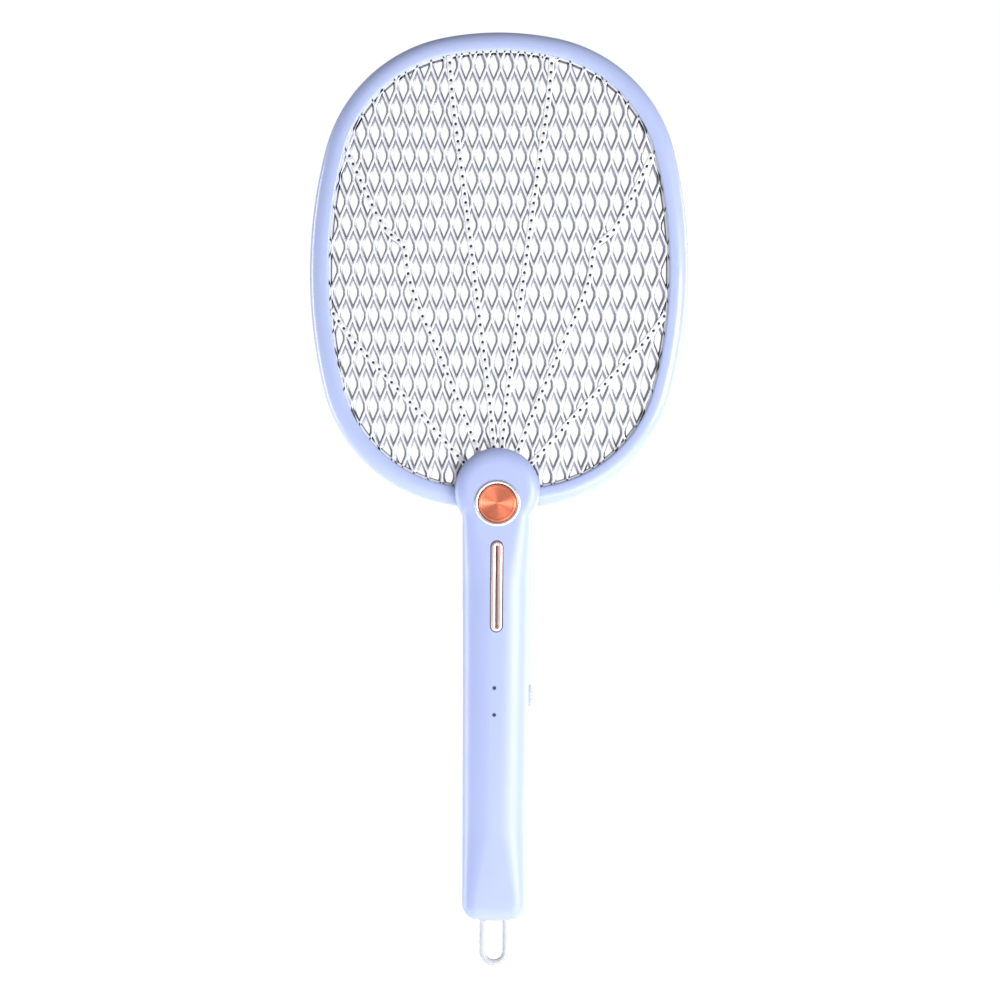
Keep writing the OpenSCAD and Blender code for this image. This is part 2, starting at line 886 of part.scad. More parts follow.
// Slide switch can on the main board, open towards the knob
module slide_switch_body() {
    high = 2.3;
    color(bright_steel)
        difference() {
            box([switch_body_x - 2.9, switch_y - switch_body_w / 2, switch_z - switch_body_l / 2],
                [switch_body_x + high, board_front - 0.02, switch_z + switch_body_l / 2]);
            box([switch_body_x + high - 2.2, switch_y - knob_stem_w / 2 - gap,
                 switch_z - knob_stem_l / 2 - switch_travel / 2 - gap],
                [switch_body_x + high + cut, switch_y + knob_stem_w / 2 + gap,
                 switch_z + knob_stem_l / 2 + switch_travel / 2 + gap]);
        }
}

// Oval tube section of the charging socket, long way along z
module usb_section(w, l) {
    square([w, l - w], center = true);
    for (z = [-1, 1])
        translate([0, z * (l - w) / 2])
            circle(d = w, $fn = 32);
}

module charging_socket() {
    color(bright_steel)
        translate([half_hw - 0.6 - usb_depth, usb_y, usb_z])
            rotate([90, 0, 90])
                difference() {
                    linear_extrude(usb_depth)
                        usb_section(usb_w - 0.04, usb_len);
                    translate([0, 0, 0.6])
                        linear_extrude(usb_depth)
                            usb_section(usb_w - 0.64, usb_len - 0.6);
                }
}

module charging_socket_tongue() {
    color(black_resin)
        box([half_hw - usb_depth + 0.02, usb_y - 0.35, usb_z - 3.3],
            [half_hw - 1.5, usb_y + 0.35, usb_z + 3.3]);
}

// ---------- electronics ----------

module main_board() {
    color(board_green)
        difference() {
            box([-board_w / 2, board_front, board_bottom], [board_w / 2, board_y, board_top]);
            rod_y(0, board_top - 6, 1.6, board_front - cut, board_y + cut);
        }
}

module charge_chip() {
    color(black_resin)
        box([-4.5, chip_y - 1.5, 26], [0.5, chip_y - 0.01, 31]);
}

module transformer_core() {
    color([0.20, 0.20, 0.22])
        difference() {
            box([-9, board_y + 0.02, 84], [9, board_y + 10.4, 100]);
            box([-6, board_y - cut, 87], [6, board_y + 10.4 + cut, 97]);
        }
}

module transformer_winding() {
    color([0.72, 0.38, 0.16])
        box([-5.9, board_y + 0.4, 87.1], [5.9, board_y + 9.8, 96.9]);
}

module storage_capacitor() {
    color([0.55, 0.16, 0.12])
        box([-7, board_y + 0.02, 66], [7, board_y + 7.5, 79]);
}

module multiplier_capacitors() {
    color([0.12, 0.26, 0.52])
        for (x = [-6, 0, 6])
            rod_y(x, 58, 2.4, board_y + 0.02, board_y + 3.2);
}

module multiplier_diodes() {
    color(black_resin)
        for (x = [-6, -2, 2, 6])
            translate([x, board_y + 1.42, 45])
                cylinder(r = 1.4, h = 7, $fn = 32);
}

module bleed_resistors() {
    color([0.80, 0.70, 0.50])
        for (x = [-4.5, 4.5])
            translate([x, board_y + 1.22, 33])
                cylinder(r = 1.2, h = 7, $fn = 32);
}

module oscillator_transistor() {
    color(black_resin)
        box([-4, board_front - 4, 90], [4, board_front - 0.02, 96]);
}

module battery_cell() {
    color([0.18, 0.42, 0.70])
        union() {
            translate([0, 0, battery_bottom])
                cylinder(d = cell_d, h = cell_l - 1);
            translate([0, 0, battery_top - 1.01])
                cylinder(d = 6, h = 1.01);
        }
}

module battery_top_contact() {
    color(bright_steel)
        box([-4, -5, battery_top + 0.02], [4, 9.6, battery_top + 0.32]);
}

module battery_bottom_contact() {
    color(bright_steel)
        box([-4, -5, battery_bottom - 0.34], [4, 9.6, battery_bottom - 0.02]);
}

// Trough that holds the cell, open to the front
module battery_cradle() {
    color(pearl)
        difference() {
            box([-cradle_w / 2, 2, battery_bottom - 1.9], [cradle_w / 2, 11.2, battery_top + 1.9]);
            translate([0, 0, battery_bottom - 0.5])
                cylinder(d = cell_d + 0.4, h = cell_l + 1);
            box([-4.2, 0, battery_bottom - 3.4], [4.2, 9.8, battery_top + 3.4]);
        }
}

module battery_positive_lead() {
    color([0.80, 0.10, 0.10])
        wire([[3, -3, battery_top + 1], [3.4, -3.4, 12], [4, -3, 17], [8, 0.3, 22]], lead_r);
}

module battery_negative_lead() {
    color(black_resin)
        wire([[0, -4, battery_bottom - 1.1], [-7.5, -8.6, battery_bottom - 1.6], [-9.4, -9.4, -46],
              [-9.6, -9.4, -10], [-13.2, -5, 2], [-13.4, -3, 10], [-13.2, -2, 18],
              [-8, 0.3, 22]], lead_r);
}

module grid_lead() {
    color([0.80, 0.10, 0.10])
        wire([[4, board_y + 1, 104], [4, 5.4, 116], [10, 4, 126], [10, 0, 136], [10, 0, 146],
              [10, 0, lead_top]], lead_r);
}

module front_guard_lead() {
    color([0.15, 0.15, 0.16])
        wire([[-6, -0.4, 104], [-8, -3, 114], [-10, -4, 126], [-10, -4, 140],
              [-10, -4, lead_top]], lead_r);
}

module back_guard_lead() {
    color([0.15, 0.15, 0.16])
        wire([[-6, board_y + 1, 104], [-8, 4.4, 114], [-10, 4, 126], [-10, 4, 140],
              [-10, 4, lead_top]], lead_r);
}

module button_leads() {
    color([0.85, 0.85, 0.88])
        for (x = [4, 6])
            wire([[x, -0.4, 108], [x + 2, -4.4, 118], [x + 2, -5, 130], [x + 2, -5, 144]], lead_r);
}

head_front_rim();
head_back_rim();
front_spacer_ring();
back_spacer_ring();
front_guard_mesh();
back_guard_mesh();
high_voltage_grid();
rim_screws();
handle_front_shell();
handle_back_shell();
case_screws();
hang_loop();
button_trim_ring();
zap_button();
button_cap();
button_spring();
tact_switch();
button_board();
light_bar_bezel();
light_bar_lens();
light_bar_board();
indicator_light_pipes();
slide_switch_knob();
slide_switch_body();
charging_socket();
charging_socket_tongue();
main_board();
charge_chip();
transformer_core();
transformer_winding();
storage_capacitor();
multiplier_capacitors();
multiplier_diodes();
bleed_resistors();
oscillator_transistor();
battery_cell();
battery_top_contact();
battery_bottom_contact();
battery_cradle();
battery_positive_lead();
battery_negative_lead();
grid_lead();
front_guard_lead();
back_guard_lead();
button_leads();
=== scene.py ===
"""Looks of the electric fly swatter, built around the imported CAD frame. Sizes are in mm."""
import math
from contextlib import contextmanager

import bmesh
import bpy
import numpy as np
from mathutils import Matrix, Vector


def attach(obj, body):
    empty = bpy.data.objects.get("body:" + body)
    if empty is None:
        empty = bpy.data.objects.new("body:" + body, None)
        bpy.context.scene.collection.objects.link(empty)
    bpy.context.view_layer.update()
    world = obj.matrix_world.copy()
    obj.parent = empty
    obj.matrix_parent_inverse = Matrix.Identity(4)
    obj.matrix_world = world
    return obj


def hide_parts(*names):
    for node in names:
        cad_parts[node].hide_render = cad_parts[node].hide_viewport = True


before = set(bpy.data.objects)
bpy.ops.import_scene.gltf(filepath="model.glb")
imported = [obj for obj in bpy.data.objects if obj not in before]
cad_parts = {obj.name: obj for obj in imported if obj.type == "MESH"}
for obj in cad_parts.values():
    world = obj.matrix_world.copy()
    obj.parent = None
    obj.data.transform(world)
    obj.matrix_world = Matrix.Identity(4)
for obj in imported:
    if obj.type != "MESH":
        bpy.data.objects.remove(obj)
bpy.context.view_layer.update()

MM = 0.001
ROOT, BUTTON, KNOB = "swatter", "press_button", "switch_knob"

# ---------- driving sizes: the CAD model's, and finer ones for the detail added here ----------

HEAD_Z = 275.4                  # height of the oval's centre
HALF_W, HALF_H = 99.3, 125.2    # half sizes of the oval
SIDE_R, TOP_R, SHOULDER_R = 260.0, 150.0, 80.0
HALF_D = 8.0                    # half thickness of the head
RIM_W, TUBE_W = 10.0, 6.8       # the rim with its lip over the mesh, and its tube alone
RIM_SCREW_WELL_R = 2.25
GUARD_Y, SHEET_T = 5.6, 0.8
CELL_W, CELL_H, BOND_L = 7.3, 24.0, 3.0
GUARD_STRAND_W, GRID_STRAND_W = 1.2, 3.2
GUARD_INSET, GRID_INSET = 8.4, 8.9  # from the oval to the edge of the metal sheet
CHAMFER, BORDER_W = 0.22, 2.6
RIB_W, RIB_RISE, RIB_HOLE_R, RIB_PITCH = 3.2, 0.6, 0.8, 4.6
FACE_Y = 16.0                   # front and back faces of the handle
WALL = 2.2
BOTTOM_Z = -64.4
FOOT_CORNER_R, HUB_FILLET_R = 8.0, 6.0
NECK_Z = 145.0                  # where the handle runs into the hub
HUB_R, HUB_Z = 22.3, 160.0
BUTTON_Z, BUTTON_R, BUTTON_PROUD, CAP_T = 153.4, 9.8, 0.9, 1.2
TRIM_IN_R, TRIM_OUT_R = 10.1, 11.7
BAR_Z, BAR_L, BAR_W, BAR_LIP = 110.0, 48.0, 6.8, 2.3
BEZEL_INSET, LENS_INSET = 0.5, 0.4  # the width of the dark strip of painted shade round the bezel, and how far the bezel narrows the lens
DOT_X, DOT_ZS, DOT_R = -0.8, (57.0, 43.0), 0.9
SWITCH_Z, SWITCH_Y, SWITCH_TRAVEL, KNOB_L, KNOB_W = 54.5, -1.6, 4.0, 11.0, 5.6
RECESS_L, RECESS_W, RECESS_DEEP = 15.6, 6.4, 1.2
SIDE_X = 17.5
USB_Z, USB_Y, USB_HOLE_W, USB_HOLE_L = 30.0, -0.63, 4.2, 10.0
LOOP_W, LOOP_L, LOOP_BAR_D = 15.6, 25.6, 3.4
CASE_SCREWS = ((-8.5, 12.8), (8.5, 12.8), (0.0, 138.5))
SHANK_R, WELL_R, BOSS_R = 1.4, 2.7, 3.3  # round the case screws: floor's hole, well and boss
WELL_FLOOR_Y, WELL_FLOOR_T = 7.5, 1.2
SEAM = 0.12                     # half of the fine gap where two shells meet

# Middle lines of the pressed ribs, right half, from the hub outwards: x, z
RIBS = (
    ((16, 173), (23, 180), (36, 195), (50, 210), (66, 227), (78.5, 240.5), (88, 254)),
    ((10, 179.5), (14.5, 191), (25.4, 218), (34, 238), (42.7, 257), (48.5, 274.5), (49, 288.5),
     (58.4, 294.5), (65, 305), (72, 320), (80, 337)),
    ((2, 180.5), (2.4, 186), (5.6, 218), (9.8, 247), (13.3, 275), (16.4, 300), (19.8, 326),
     (22.4, 345), (25.4, 366), (27.2, 391)),
)


# ---------- materials ----------

class Paint:
    """A node material: a colour that drifts a little, roughness and bump at real scale."""

    def __init__(self, name, color, rough, metallic=0.0, **sockets):
        self.mat = bpy.data.materials.new(name)
        self.mat.use_nodes = True
        self.tree = self.mat.node_tree
        self.shader = self.tree.nodes["Principled BSDF"]
        self.place = self.tree.nodes.new("ShaderNodeTexCoord")
        self.color, self.rough = color, rough
        self.shader.inputs["Base Color"].default_value = (*color, 1)
        self.shader.inputs["Roughness"].default_value = rough
        self.shader.inputs["Metallic"].default_value = metallic
        for key, value in sockets.items():
            self.shader.inputs[key.replace("_", " ")].default_value = value
        self.bump = None

    def noise(self, size_mm, detail=3.0, stretch=(1, 1, 1)):
        """Noise whose blobs are about size_mm across."""
        scale = self.tree.nodes.new("ShaderNodeMapping")
        scale.inputs["Scale"].default_value = [s / (size_mm * MM) for s in stretch]
        self.tree.links.new(self.place.outputs["Object"], scale.inputs["Vector"])
        node = self.tree.nodes.new("ShaderNodeTexNoise")
        node.inputs["Scale"].default_value = 1.0
        node.inputs["Detail"].default_value = detail
        self.tree.links.new(scale.outputs["Vector"], node.inputs["Vector"])
        return node.outputs["Fac"]

    def drift(self, size_mm, amount):
        """Colour drifts between a darker and a lighter tone of itself."""
        ramp = self.tree.nodes.new("ShaderNodeValToRGB")
        low = [max(0.0, c * (1 - amount)) for c in self.color]
        high = [min(1.0, c * (1 + amount)) for c in self.color]
        ramp.color_ramp.elements[0].position = 0.3
        ramp.color_ramp.elements[0].color = (*low, 1)
        ramp.color_ramp.elements[1].position = 0.7
        ramp.color_ramp.elements[1].color = (*high, 1)
        self.tree.links.new(self.noise(size_mm), ramp.inputs["Fac"])
        self.tree.links.new(ramp.outputs["Color"], self.shader.inputs["Base Color"])
        return self

    def haze(self, size_mm, spread, stretch=(1, 1, 1)):
        """Roughness drifts by spread each way."""
        span = self.tree.nodes.new("ShaderNodeMapRange")
        span.inputs["From Min"].default_value = 0.3
        span.inputs["From Max"].default_value = 0.7
        span.inputs["To Min"].default_value = max(0.02, self.rough - spread)
        span.inputs["To Max"].default_value = min(1.0, self.rough + spread)
        self.tree.links.new(self.noise(size_mm, stretch=stretch), span.inputs["Value"])
        self.tree.links.new(span.outputs["Result"], self.shader.inputs["Roughness"])
        return self

    def grain(self, size_mm, depth_mm, strength, stretch=(1, 1, 1)):
        """Fine bump; a second call adds to the first."""
        node = self.tree.nodes.new("ShaderNodeBump")
        node.inputs["Strength"].default_value = strength
        node.inputs["Distance"].default_value = depth_mm * MM
        self.tree.links.new(self.noise(size_mm, 2.0, stretch), node.inputs["Height"])
        if self.bump:
            self.tree.links.new(self.bump, node.inputs["Normal"])
        self.bump = node.outputs["Normal"]
        self.tree.links.new(self.bump, self.shader.inputs["Normal"])
        return self

    def turned(self, axis):
        """Brushed round and round about the object's own axis."""
        node = self.tree.nodes.new("ShaderNodeTangent")
        node.direction_type, node.axis = "RADIAL", axis
        self.tree.links.new(node.outputs["Tangent"], self.shader.inputs["Tangent"])
        return self


def plastic(name, color, rough, grain_mm=0.35, **sockets):
    """Moulded plastic with a fine satin grain."""
    return (Paint(name, color, rough, **sockets)
            .drift(40, 0.012).haze(8, 0.02).grain(grain_mm, 0.02, 0.12).mat)


def metal(name, color, rough, stretch=(1, 1, 1), **sockets):
    """Bare or plated metal. A number below 1 in stretch draws its marks out along that axis."""
    return (Paint(name, color, rough, 1.0, **sockets)
            .drift(5, 0.05).haze(1.5, 0.06, stretch).grain(0.25, 0.01, 0.15, stretch).mat)


LAVENDER = (0.375, 0.435, 0.72)
shell_paint = plastic("lavender_shell", LAVENDER, 0.42, Coat_Weight=0.35, Coat_Roughness=0.32)
rim_paint = plastic("lavender_rim", (0.395, 0.46, 0.72), 0.32, Coat_Weight=0.4,
                    Coat_Roughness=0.1)
knob_paint = plastic("lavender_knob", (0.42, 0.47, 0.72), 0.34)
guard_paint = (Paint("coated_guard_steel", (0.80, 0.81, 0.85), 0.32, 0.25)
               .drift(3, 0.04).haze(2, 0.06).grain(0.5, 0.03, 0.2).mat)
# Painted shade: near-black for the floors and lower walls of the rib holes. The cutters, which are
# removed, carry it too.
hole_shade_paint = (Paint("painted_hole_shade", (0.03, 0.03, 0.04), 0.6).drift(1, 0.2).haze(1, 0.1).mat)
grid_paint = metal("grid_steel", (0.46, 0.475, 0.53), 0.42, (0.2, 1, 1))
# The spacer rings' own plastic, taken this dark as painted shade for the gap between the rim's lip
# and the mesh.
spacer_gap_shade_paint = plastic("spacer_plastic_gap_shade", (0.16, 0.17, 0.20), 0.5)
copper_paint = (Paint("spun_copper", (1.0, 0.29, 0.16), 0.5, 1.0, Anisotropic=0.97,
                      Anisotropic_Rotation=0.25, Coat_Weight=0.3, Coat_Roughness=0.35)
                .drift(4, 0.04).haze(0.6, 0.04).turned("Y").mat)
rose_paint = metal("rose_gold", (0.95, 0.74, 0.68), 0.36)
chrome_paint = metal("bright_ring", (0.90, 0.90, 0.93), 0.28)
lens_paint = (Paint("smoked_lens", (0.10, 0.035, 0.03), 0.12, Coat_Weight=1.0)
              .drift(2, 0.15).haze(3, 0.03).grain(1.2, 0.02, 0.1).mat)
# Painted shade: near-black for the strip that fills the shadow gap round the bezel.
bezel_gap_shade_paint = plastic("painted_bezel_gap_shade", (0.03, 0.026, 0.035), 0.6)
loop_paint = (Paint("milky_loop", (0.60, 0.61, 0.65), 0.22, Transmission_Weight=0.25, IOR=1.45)
              .drift(4, 0.02).haze(3, 0.05).grain(0.6, 0.02, 0.1).mat)
steel_paint = metal("zinc_steel", (0.60, 0.61, 0.63), 0.28)
tin_paint = metal("tinned_can", (0.66, 0.67, 0.69), 0.32, (1, 0.15, 1))
resin_paint = plastic("black_resin", (0.018, 0.018, 0.022), 0.42)
board_paint = (Paint("solder_mask", (0.01, 0.10, 0.04), 0.28, Coat_Weight=0.5)
               .drift(2.5, 0.25).haze(2, 0.06).grain(1.2, 0.03, 0.25).mat)
ferrite_paint = plastic("ferrite", (0.03, 0.03, 0.033), 0.65, 0.2)
winding_paint = metal("enamelled_wire", (0.62, 0.22, 0.06), 0.30, (1, 1, 12))
film_paint = plastic("dipped_film", (0.28, 0.025, 0.015), 0.25, 0.8)
blue_paint = plastic("dipped_disc", (0.01, 0.06, 0.24), 0.25, 0.8)
lacquer_paint = plastic("resistor_lacquer", (0.60, 0.44, 0.20), 0.35, 0.5)
sleeve_paint = plastic("cell_sleeve", (0.03, 0.14, 0.42), 0.22, 1.0)
nickel_paint = metal("nickel_strip", (0.60, 0.58, 0.54), 0.30, (1, 1, 0.2))
cradle_paint = plastic("cradle_plastic", (0.76, 0.77, 0.82), 0.5)
red_paint = plastic("red_insulation", (0.50, 0.01, 0.01), 0.4)
black_paint = plastic("black_insulation", (0.012, 0.012, 0.014), 0.4)
white_paint = plastic("white_insulation", (0.72, 0.72, 0.74), 0.4)
pipe_paint = plastic("dark_light_pipe", (0.05, 0.04, 0.08), 0.10)

CAD_PAINTS = {
    "head_front_rim": rim_paint, "head_back_rim": rim_paint,
    "front_spacer_ring": spacer_gap_shade_paint, "back_spacer_ring": spacer_gap_shade_paint,
    "front_guard_mesh": guard_paint, "back_guard_mesh": guard_paint,
    "high_voltage_grid": grid_paint, "rim_screws": steel_paint,
    "handle_front_shell": shell_paint, "handle_back_shell": shell_paint,
    "case_screws": steel_paint, "hang_loop": loop_paint, "button_trim_ring": chrome_paint,
    "zap_button": resin_paint, "button_cap": copper_paint, "button_spring": steel_paint,
    "tact_switch": resin_paint, "button_board": board_paint, "light_bar_bezel": rose_paint,
    "light_bar_lens": lens_paint, "light_bar_board": board_paint,
    "indicator_light_pipes": pipe_paint, "slide_switch_knob": knob_paint,
    "slide_switch_body": tin_paint, "charging_socket": tin_paint,
    "charging_socket_tongue": resin_paint, "main_board": board_paint,
    "charge_chip": resin_paint, "transformer_core": ferrite_paint,
    "transformer_winding": winding_paint, "storage_capacitor": film_paint,
    "multiplier_capacitors": blue_paint, "multiplier_diodes": resin_paint,
    "bleed_resistors": lacquer_paint, "oscillator_transistor": resin_paint,
    "battery_cell": sleeve_paint, "battery_top_contact": nickel_paint,
    "battery_bottom_contact": nickel_paint, "battery_cradle": cradle_paint,
    "battery_positive_lead": red_paint, "battery_negative_lead": black_paint,
    "grid_lead": red_paint, "front_guard_lead": black_paint, "back_guard_lead": black_paint,
    "button_leads": white_paint,
}
for node, paint in CAD_PAINTS.items():
    for material_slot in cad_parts[node].material_slots:
        material_slot.material = paint


# ---------- mesh helpers ----------

def piece(name, verts, faces, paint, body=ROOT, slot=None, replaces=(), origin=(0, 0, 0)):
    """A new piece from points in mm. Its object sits at origin, so textures can turn about it."""
    mesh = bpy.data.meshes.new(name)
    mesh.from_pydata([[(c - o) * MM for c, o in zip(v, origin)] for v in verts], [], faces)
    obj = bpy.data.objects.new(name, mesh)
    bpy.context.scene.collection.objects.link(obj)
    obj.location = [o * MM for o in origin]
    mesh.materials.append(paint)
    bpy.context.view_layer.update()
    if body:
        finish_piece(obj, body, replaces)
    return obj


def finish_piece(obj, body, replaces=(), sharp_deg=35):
    """Outward faces, smooth shading with crisp edges, and the piece's place in the frame."""
    face_out(obj)
    obj.data.polygons.foreach_set("use_smooth", [True] * len(obj.data.polygons))
    obj.data.set_sharp_from_angle(angle=math.radians(sharp_deg))
    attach(obj, body)
    if replaces:
        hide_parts(*replaces)


@contextmanager
def editing(obj):
    """obj's mesh as a bmesh, which is written back at the end."""
    bm = bmesh.new()
    bm.from_mesh(obj.data)
    yield bm
    bm.to_mesh(obj.data)
    bm.free()


def settle(obj):
    """Applies obj's modifiers to its mesh."""
    graph = bpy.context.evaluated_depsgraph_get()
    mesh = bpy.data.meshes.new_from_object(obj.evaluated_get(graph))
    obj.modifiers.clear()
    obj.data = mesh


def face_out(obj):
    """Turns all faces outwards."""
    with editing(obj) as bm:
        bmesh.ops.recalc_face_normals(bm, faces=bm.faces)


def carve(obj, cutters, operation="DIFFERENCE"):
    """Cuts each cutter out of obj, or adds it for a UNION, and removes the cutters."""
    face_out(obj)
    for cutter in cutters:
        face_out(cutter)
        mod = obj.modifiers.new("carve", "BOOLEAN")
        mod.operation, mod.solver, mod.object = operation, "EXACT", cutter
        settle(obj)
    for cutter in cutters:
        bpy.data.objects.remove(cutter)


def tidy(obj, dist_mm=0.002):
    """Merges points closer than dist_mm and removes what collapses."""
    with editing(obj) as bm:
        bmesh.ops.remove_doubles(bm, verts=bm.verts, dist=dist_mm * MM)
        bmesh.ops.dissolve_degenerate(bm, edges=bm.edges, dist=dist_mm * MM)


def one_paint(obj, paint):
    """Leaves obj with a single material, after a union has brought in others."""
    obj.data.materials.clear()
    obj.data.materials.append(paint)
    obj.data.polygons.foreach_set("material_index", [0] * len(obj.data.polygons))


def loops_mesh(loops, closed=True, caps=False):
    """Points and faces of a surface through rows of points. Rows close on themselves."""
    n, rows = len(loops[0]), len(loops)
    verts = [p for loop in loops for p in loop]
    faces = []
    for r in range(rows if closed else rows - 1):
        a, b = r * n, (r + 1) % rows * n
        faces += [(a + k, a + (k + 1) % n, b + (k + 1) % n, b + k) for k in range(n)]
    if caps:
        faces += [tuple(range(n))[::-1], tuple(range((rows - 1) * n, rows * n))]
    return verts, faces


def prism(outline, y0, y1):
    """A cutter or slab: an x, z outline from y0 to y1."""
    loops = [[(x, y, z) for x, z in outline] for y in (y0, y1)]
    verts, faces = loops_mesh(loops, closed=False, caps=True)
    return piece("cutter", verts, faces, hole_shade_paint, body=None)


def ring_points(cx, cz, r, count=64, start=0.0, end=360.0):
    """Points round a circle, or from one angle to another with both ends."""
    full = end - start >= 360
    steps = count if full else count - 1
    return [(cx + r * math.cos(math.radians(start + (end - start) * k / steps)),
             cz + r * math.sin(math.radians(start + (end - start) * k / steps)))
            for k in range(count)]


def stadium(cx, cz, w, length, count=24):
    """A slot outline with round ends, long way along z."""
    r, h = w / 2, (length - w) / 2
    return (ring_points(cx, cz + h, r, count, 0, 180)
            + ring_points(cx, cz - h, r, count, 180, 360 - 1e-6))


def block(low, high):
    """A box cutter."""
    (x0, y0, z0), (x1, y1, z1) = low, high
    return prism([(x0, z0), (x1, z0), (x1, z1), (x0, z1)], y0, y1)


def normals_of(points):
    """Outward unit normals of a closed, counter-clockwise x, z outline."""
    result = []
    for k, (x, z) in enumerate(points):
        (xa, za), (xb, zb) = points[k - 1], points[(k + 1) % len(points)]
        d = math.hypot(xb - xa, zb - za)
        result.append(((zb - za) / d, -(xb - xa) / d))
    return result


def sweep(outline, section, sign=-1.0):
    """Runs a closed section round an outline: section x is outwards, section y is away from
    the middle plane, to the front for sign -1."""
    out = normals_of(outline)
    return loops_mesh([[(x + nx * u, sign * v, z + nz * u) for u, v in section]
                       for (x, z), (nx, nz) in zip(outline, out)])


def lathe(cx, cz, section, count=144):
    """Turns a section of (radius, distance in front of the middle plane) about a line along y."""
    loops = []
    for k in range(count):
        a = 2 * math.pi * k / count
        loops.append([(cx + r * math.cos(a), -v, cz + r * math.sin(a)) for r, v in section])
    return loops_mesh(loops)


# ---------- the oval of the head ----------

def oval_arcs():
    """Centre x, centre z, radius, first angle and last angle of each tangent arc."""
    side_cx, top_cz = HALF_W - SIDE_R, HALF_H - TOP_R
    dist = math.hypot(side_cx, top_cz)
    reach_a, reach_b = SIDE_R - SHOULDER_R, TOP_R - SHOULDER_R
    along = (reach_a ** 2 - reach_b ** 2 + dist ** 2) / (2 * dist)
    across = math.sqrt(reach_a ** 2 - along ** 2)
    tx, tz = -side_cx / dist, top_cz / dist
    cx, cz = side_cx + along * tx - across * tz, along * tz + across * tx
    side_a = math.degrees(math.atan2(cz, cx - side_cx))
    top_a = math.degrees(math.atan2(cz - top_cz, cx))
    return (
        (side_cx, 0, SIDE_R, -side_a, side_a),
        (cx, cz, SHOULDER_R, side_a, top_a),
        (0, top_cz, TOP_R, top_a, 180 - top_a),
        (-cx, cz, SHOULDER_R, 180 - top_a, 180 - side_a),
        (-side_cx, 0, SIDE_R, 180 - side_a, 180 + side_a),
        (-cx, -cz, SHOULDER_R, 180 + side_a, 180 + top_a),
        (0, -top_cz, TOP_R, 180 + top_a, 360 - top_a),
        (cx, -cz, SHOULDER_R, 360 - top_a, 360 - side_a),
    )


ARCS = oval_arcs()


def oval(grow=0.0, step_mm=1.2):
    """Outline of the head moved outwards by grow."""
    points = []
    for cx, cz, r, a0, a1 in ARCS:
        n = math.ceil(math.radians(a1 - a0) * r / step_mm)
        for k in range(n):
            a = math.radians(a0 + (a1 - a0) * k / n)
            points.append((cx + (r + grow) * math.cos(a), HEAD_Z + cz + (r + grow) * math.sin(a)))
    return points


def on_arc(index, share, grow):
    """A point at a share of the way along one arc."""
    cx, cz, r, a0, a1 = ARCS[index]
    a = math.radians(a0 + (a1 - a0) * share)
    return cx + (r + grow) * math.cos(a), HEAD_Z + cz + (r + grow) * math.sin(a)


# ---------- rim ----------

# The rim screws: index of the arc in ARCS, and the share of the way along it
SCREW_SHARES = ((0, 0.1), (0, 0.575), (0, 0.975), (4, 0.9), (4, 0.425), (4, 0.025),
                (2, 0.3), (2, 0.7), (5, 0.5), (7, 0.5))


def rim_section(crest):
    """Pillow-shaped rim: a slope to the outside, highest at crest inside the oval, and a roll
    over the mesh's edge."""
    foot, lip_y = 2.0, GUARD_Y + 1.0
    section = [(0, SEAM), (0, foot * 0.6)]
    for a in np.radians(np.linspace(0, 90, 20)):
        section.append((-crest * (1 - math.cos(a)), foot + (HALF_D - foot) * math.sin(a)))
    for a in np.radians(np.linspace(10, 60, 6)):
        roll = math.sin(a) / math.sin(math.radians(60))
        section.append((-crest - (RIM_W - 0.5 - crest) * roll,
                        lip_y + 0.5 + (HALF_D - lip_y - 0.5) * math.cos(a)))
    section += ring_points(-RIM_W + 0.5, lip_y + 0.25, 0.5, 5, 110, 180)
    section += [(-RIM_W, GUARD_Y + 0.05), (-RIM_W + 0.3, GUARD_Y), (-TUBE_W, GUARD_Y),
                (-TUBE_W, SEAM)]
    return section


def rim(sign, name, node, crest):
    """One half of the rim, cut away inside the hub. The back half has the screws' wells."""
    verts, faces = sweep(oval(), rim_section(crest), sign)
    obj = piece(name, verts, faces, rim_paint, body=None)
    notch_half_w, notch_top, notch_floor = 13, HUB_Z + 14, 3.2
    low_y, high_y = sorted((sign * notch_floor, sign * (HALF_D + 1)))
    cutters = [block((-notch_half_w, low_y, HUB_Z - HUB_R), (notch_half_w, high_y, notch_top))]
    if sign > 0:
        for index, share in SCREW_SHARES:
            x, z = on_arc(index, share, -TUBE_W / 2)
            cutters.append(prism(ring_points(x, z, RIM_SCREW_WELL_R, 32), HALF_D - 2.2, HALF_D + 1))
    carve(obj, cutters)
    tidy(obj)
    finish_piece(obj, ROOT, (node,))


rim(-1, "front_rim_skin", "head_front_rim", 6.4)
rim(1, "back_rim_skin", "head_back_rim", 2.6)


# ---------- guard meshes and grid ----------

def cell_corners(cx, cz, strand):
    """The six corners of one diamond cell with short vertical sides."""
    run, rise = CELL_W / 2, (CELL_H - 2 * BOND_L) / 2
    lean = math.atan2(run, rise)
    tip = (CELL_H - BOND_L) / 2 - strand / 2 / math.sin(lean)
    side = run - strand / 2
    knee = tip - side * rise / run
    return {"top": (cx, cz + tip), "ru": (cx + side, cz + knee), "rd": (cx + side, cz - knee),
            "bottom": (cx, cz - tip), "ld": (cx - side, cz - knee), "lu": (cx - side, cz + knee)}


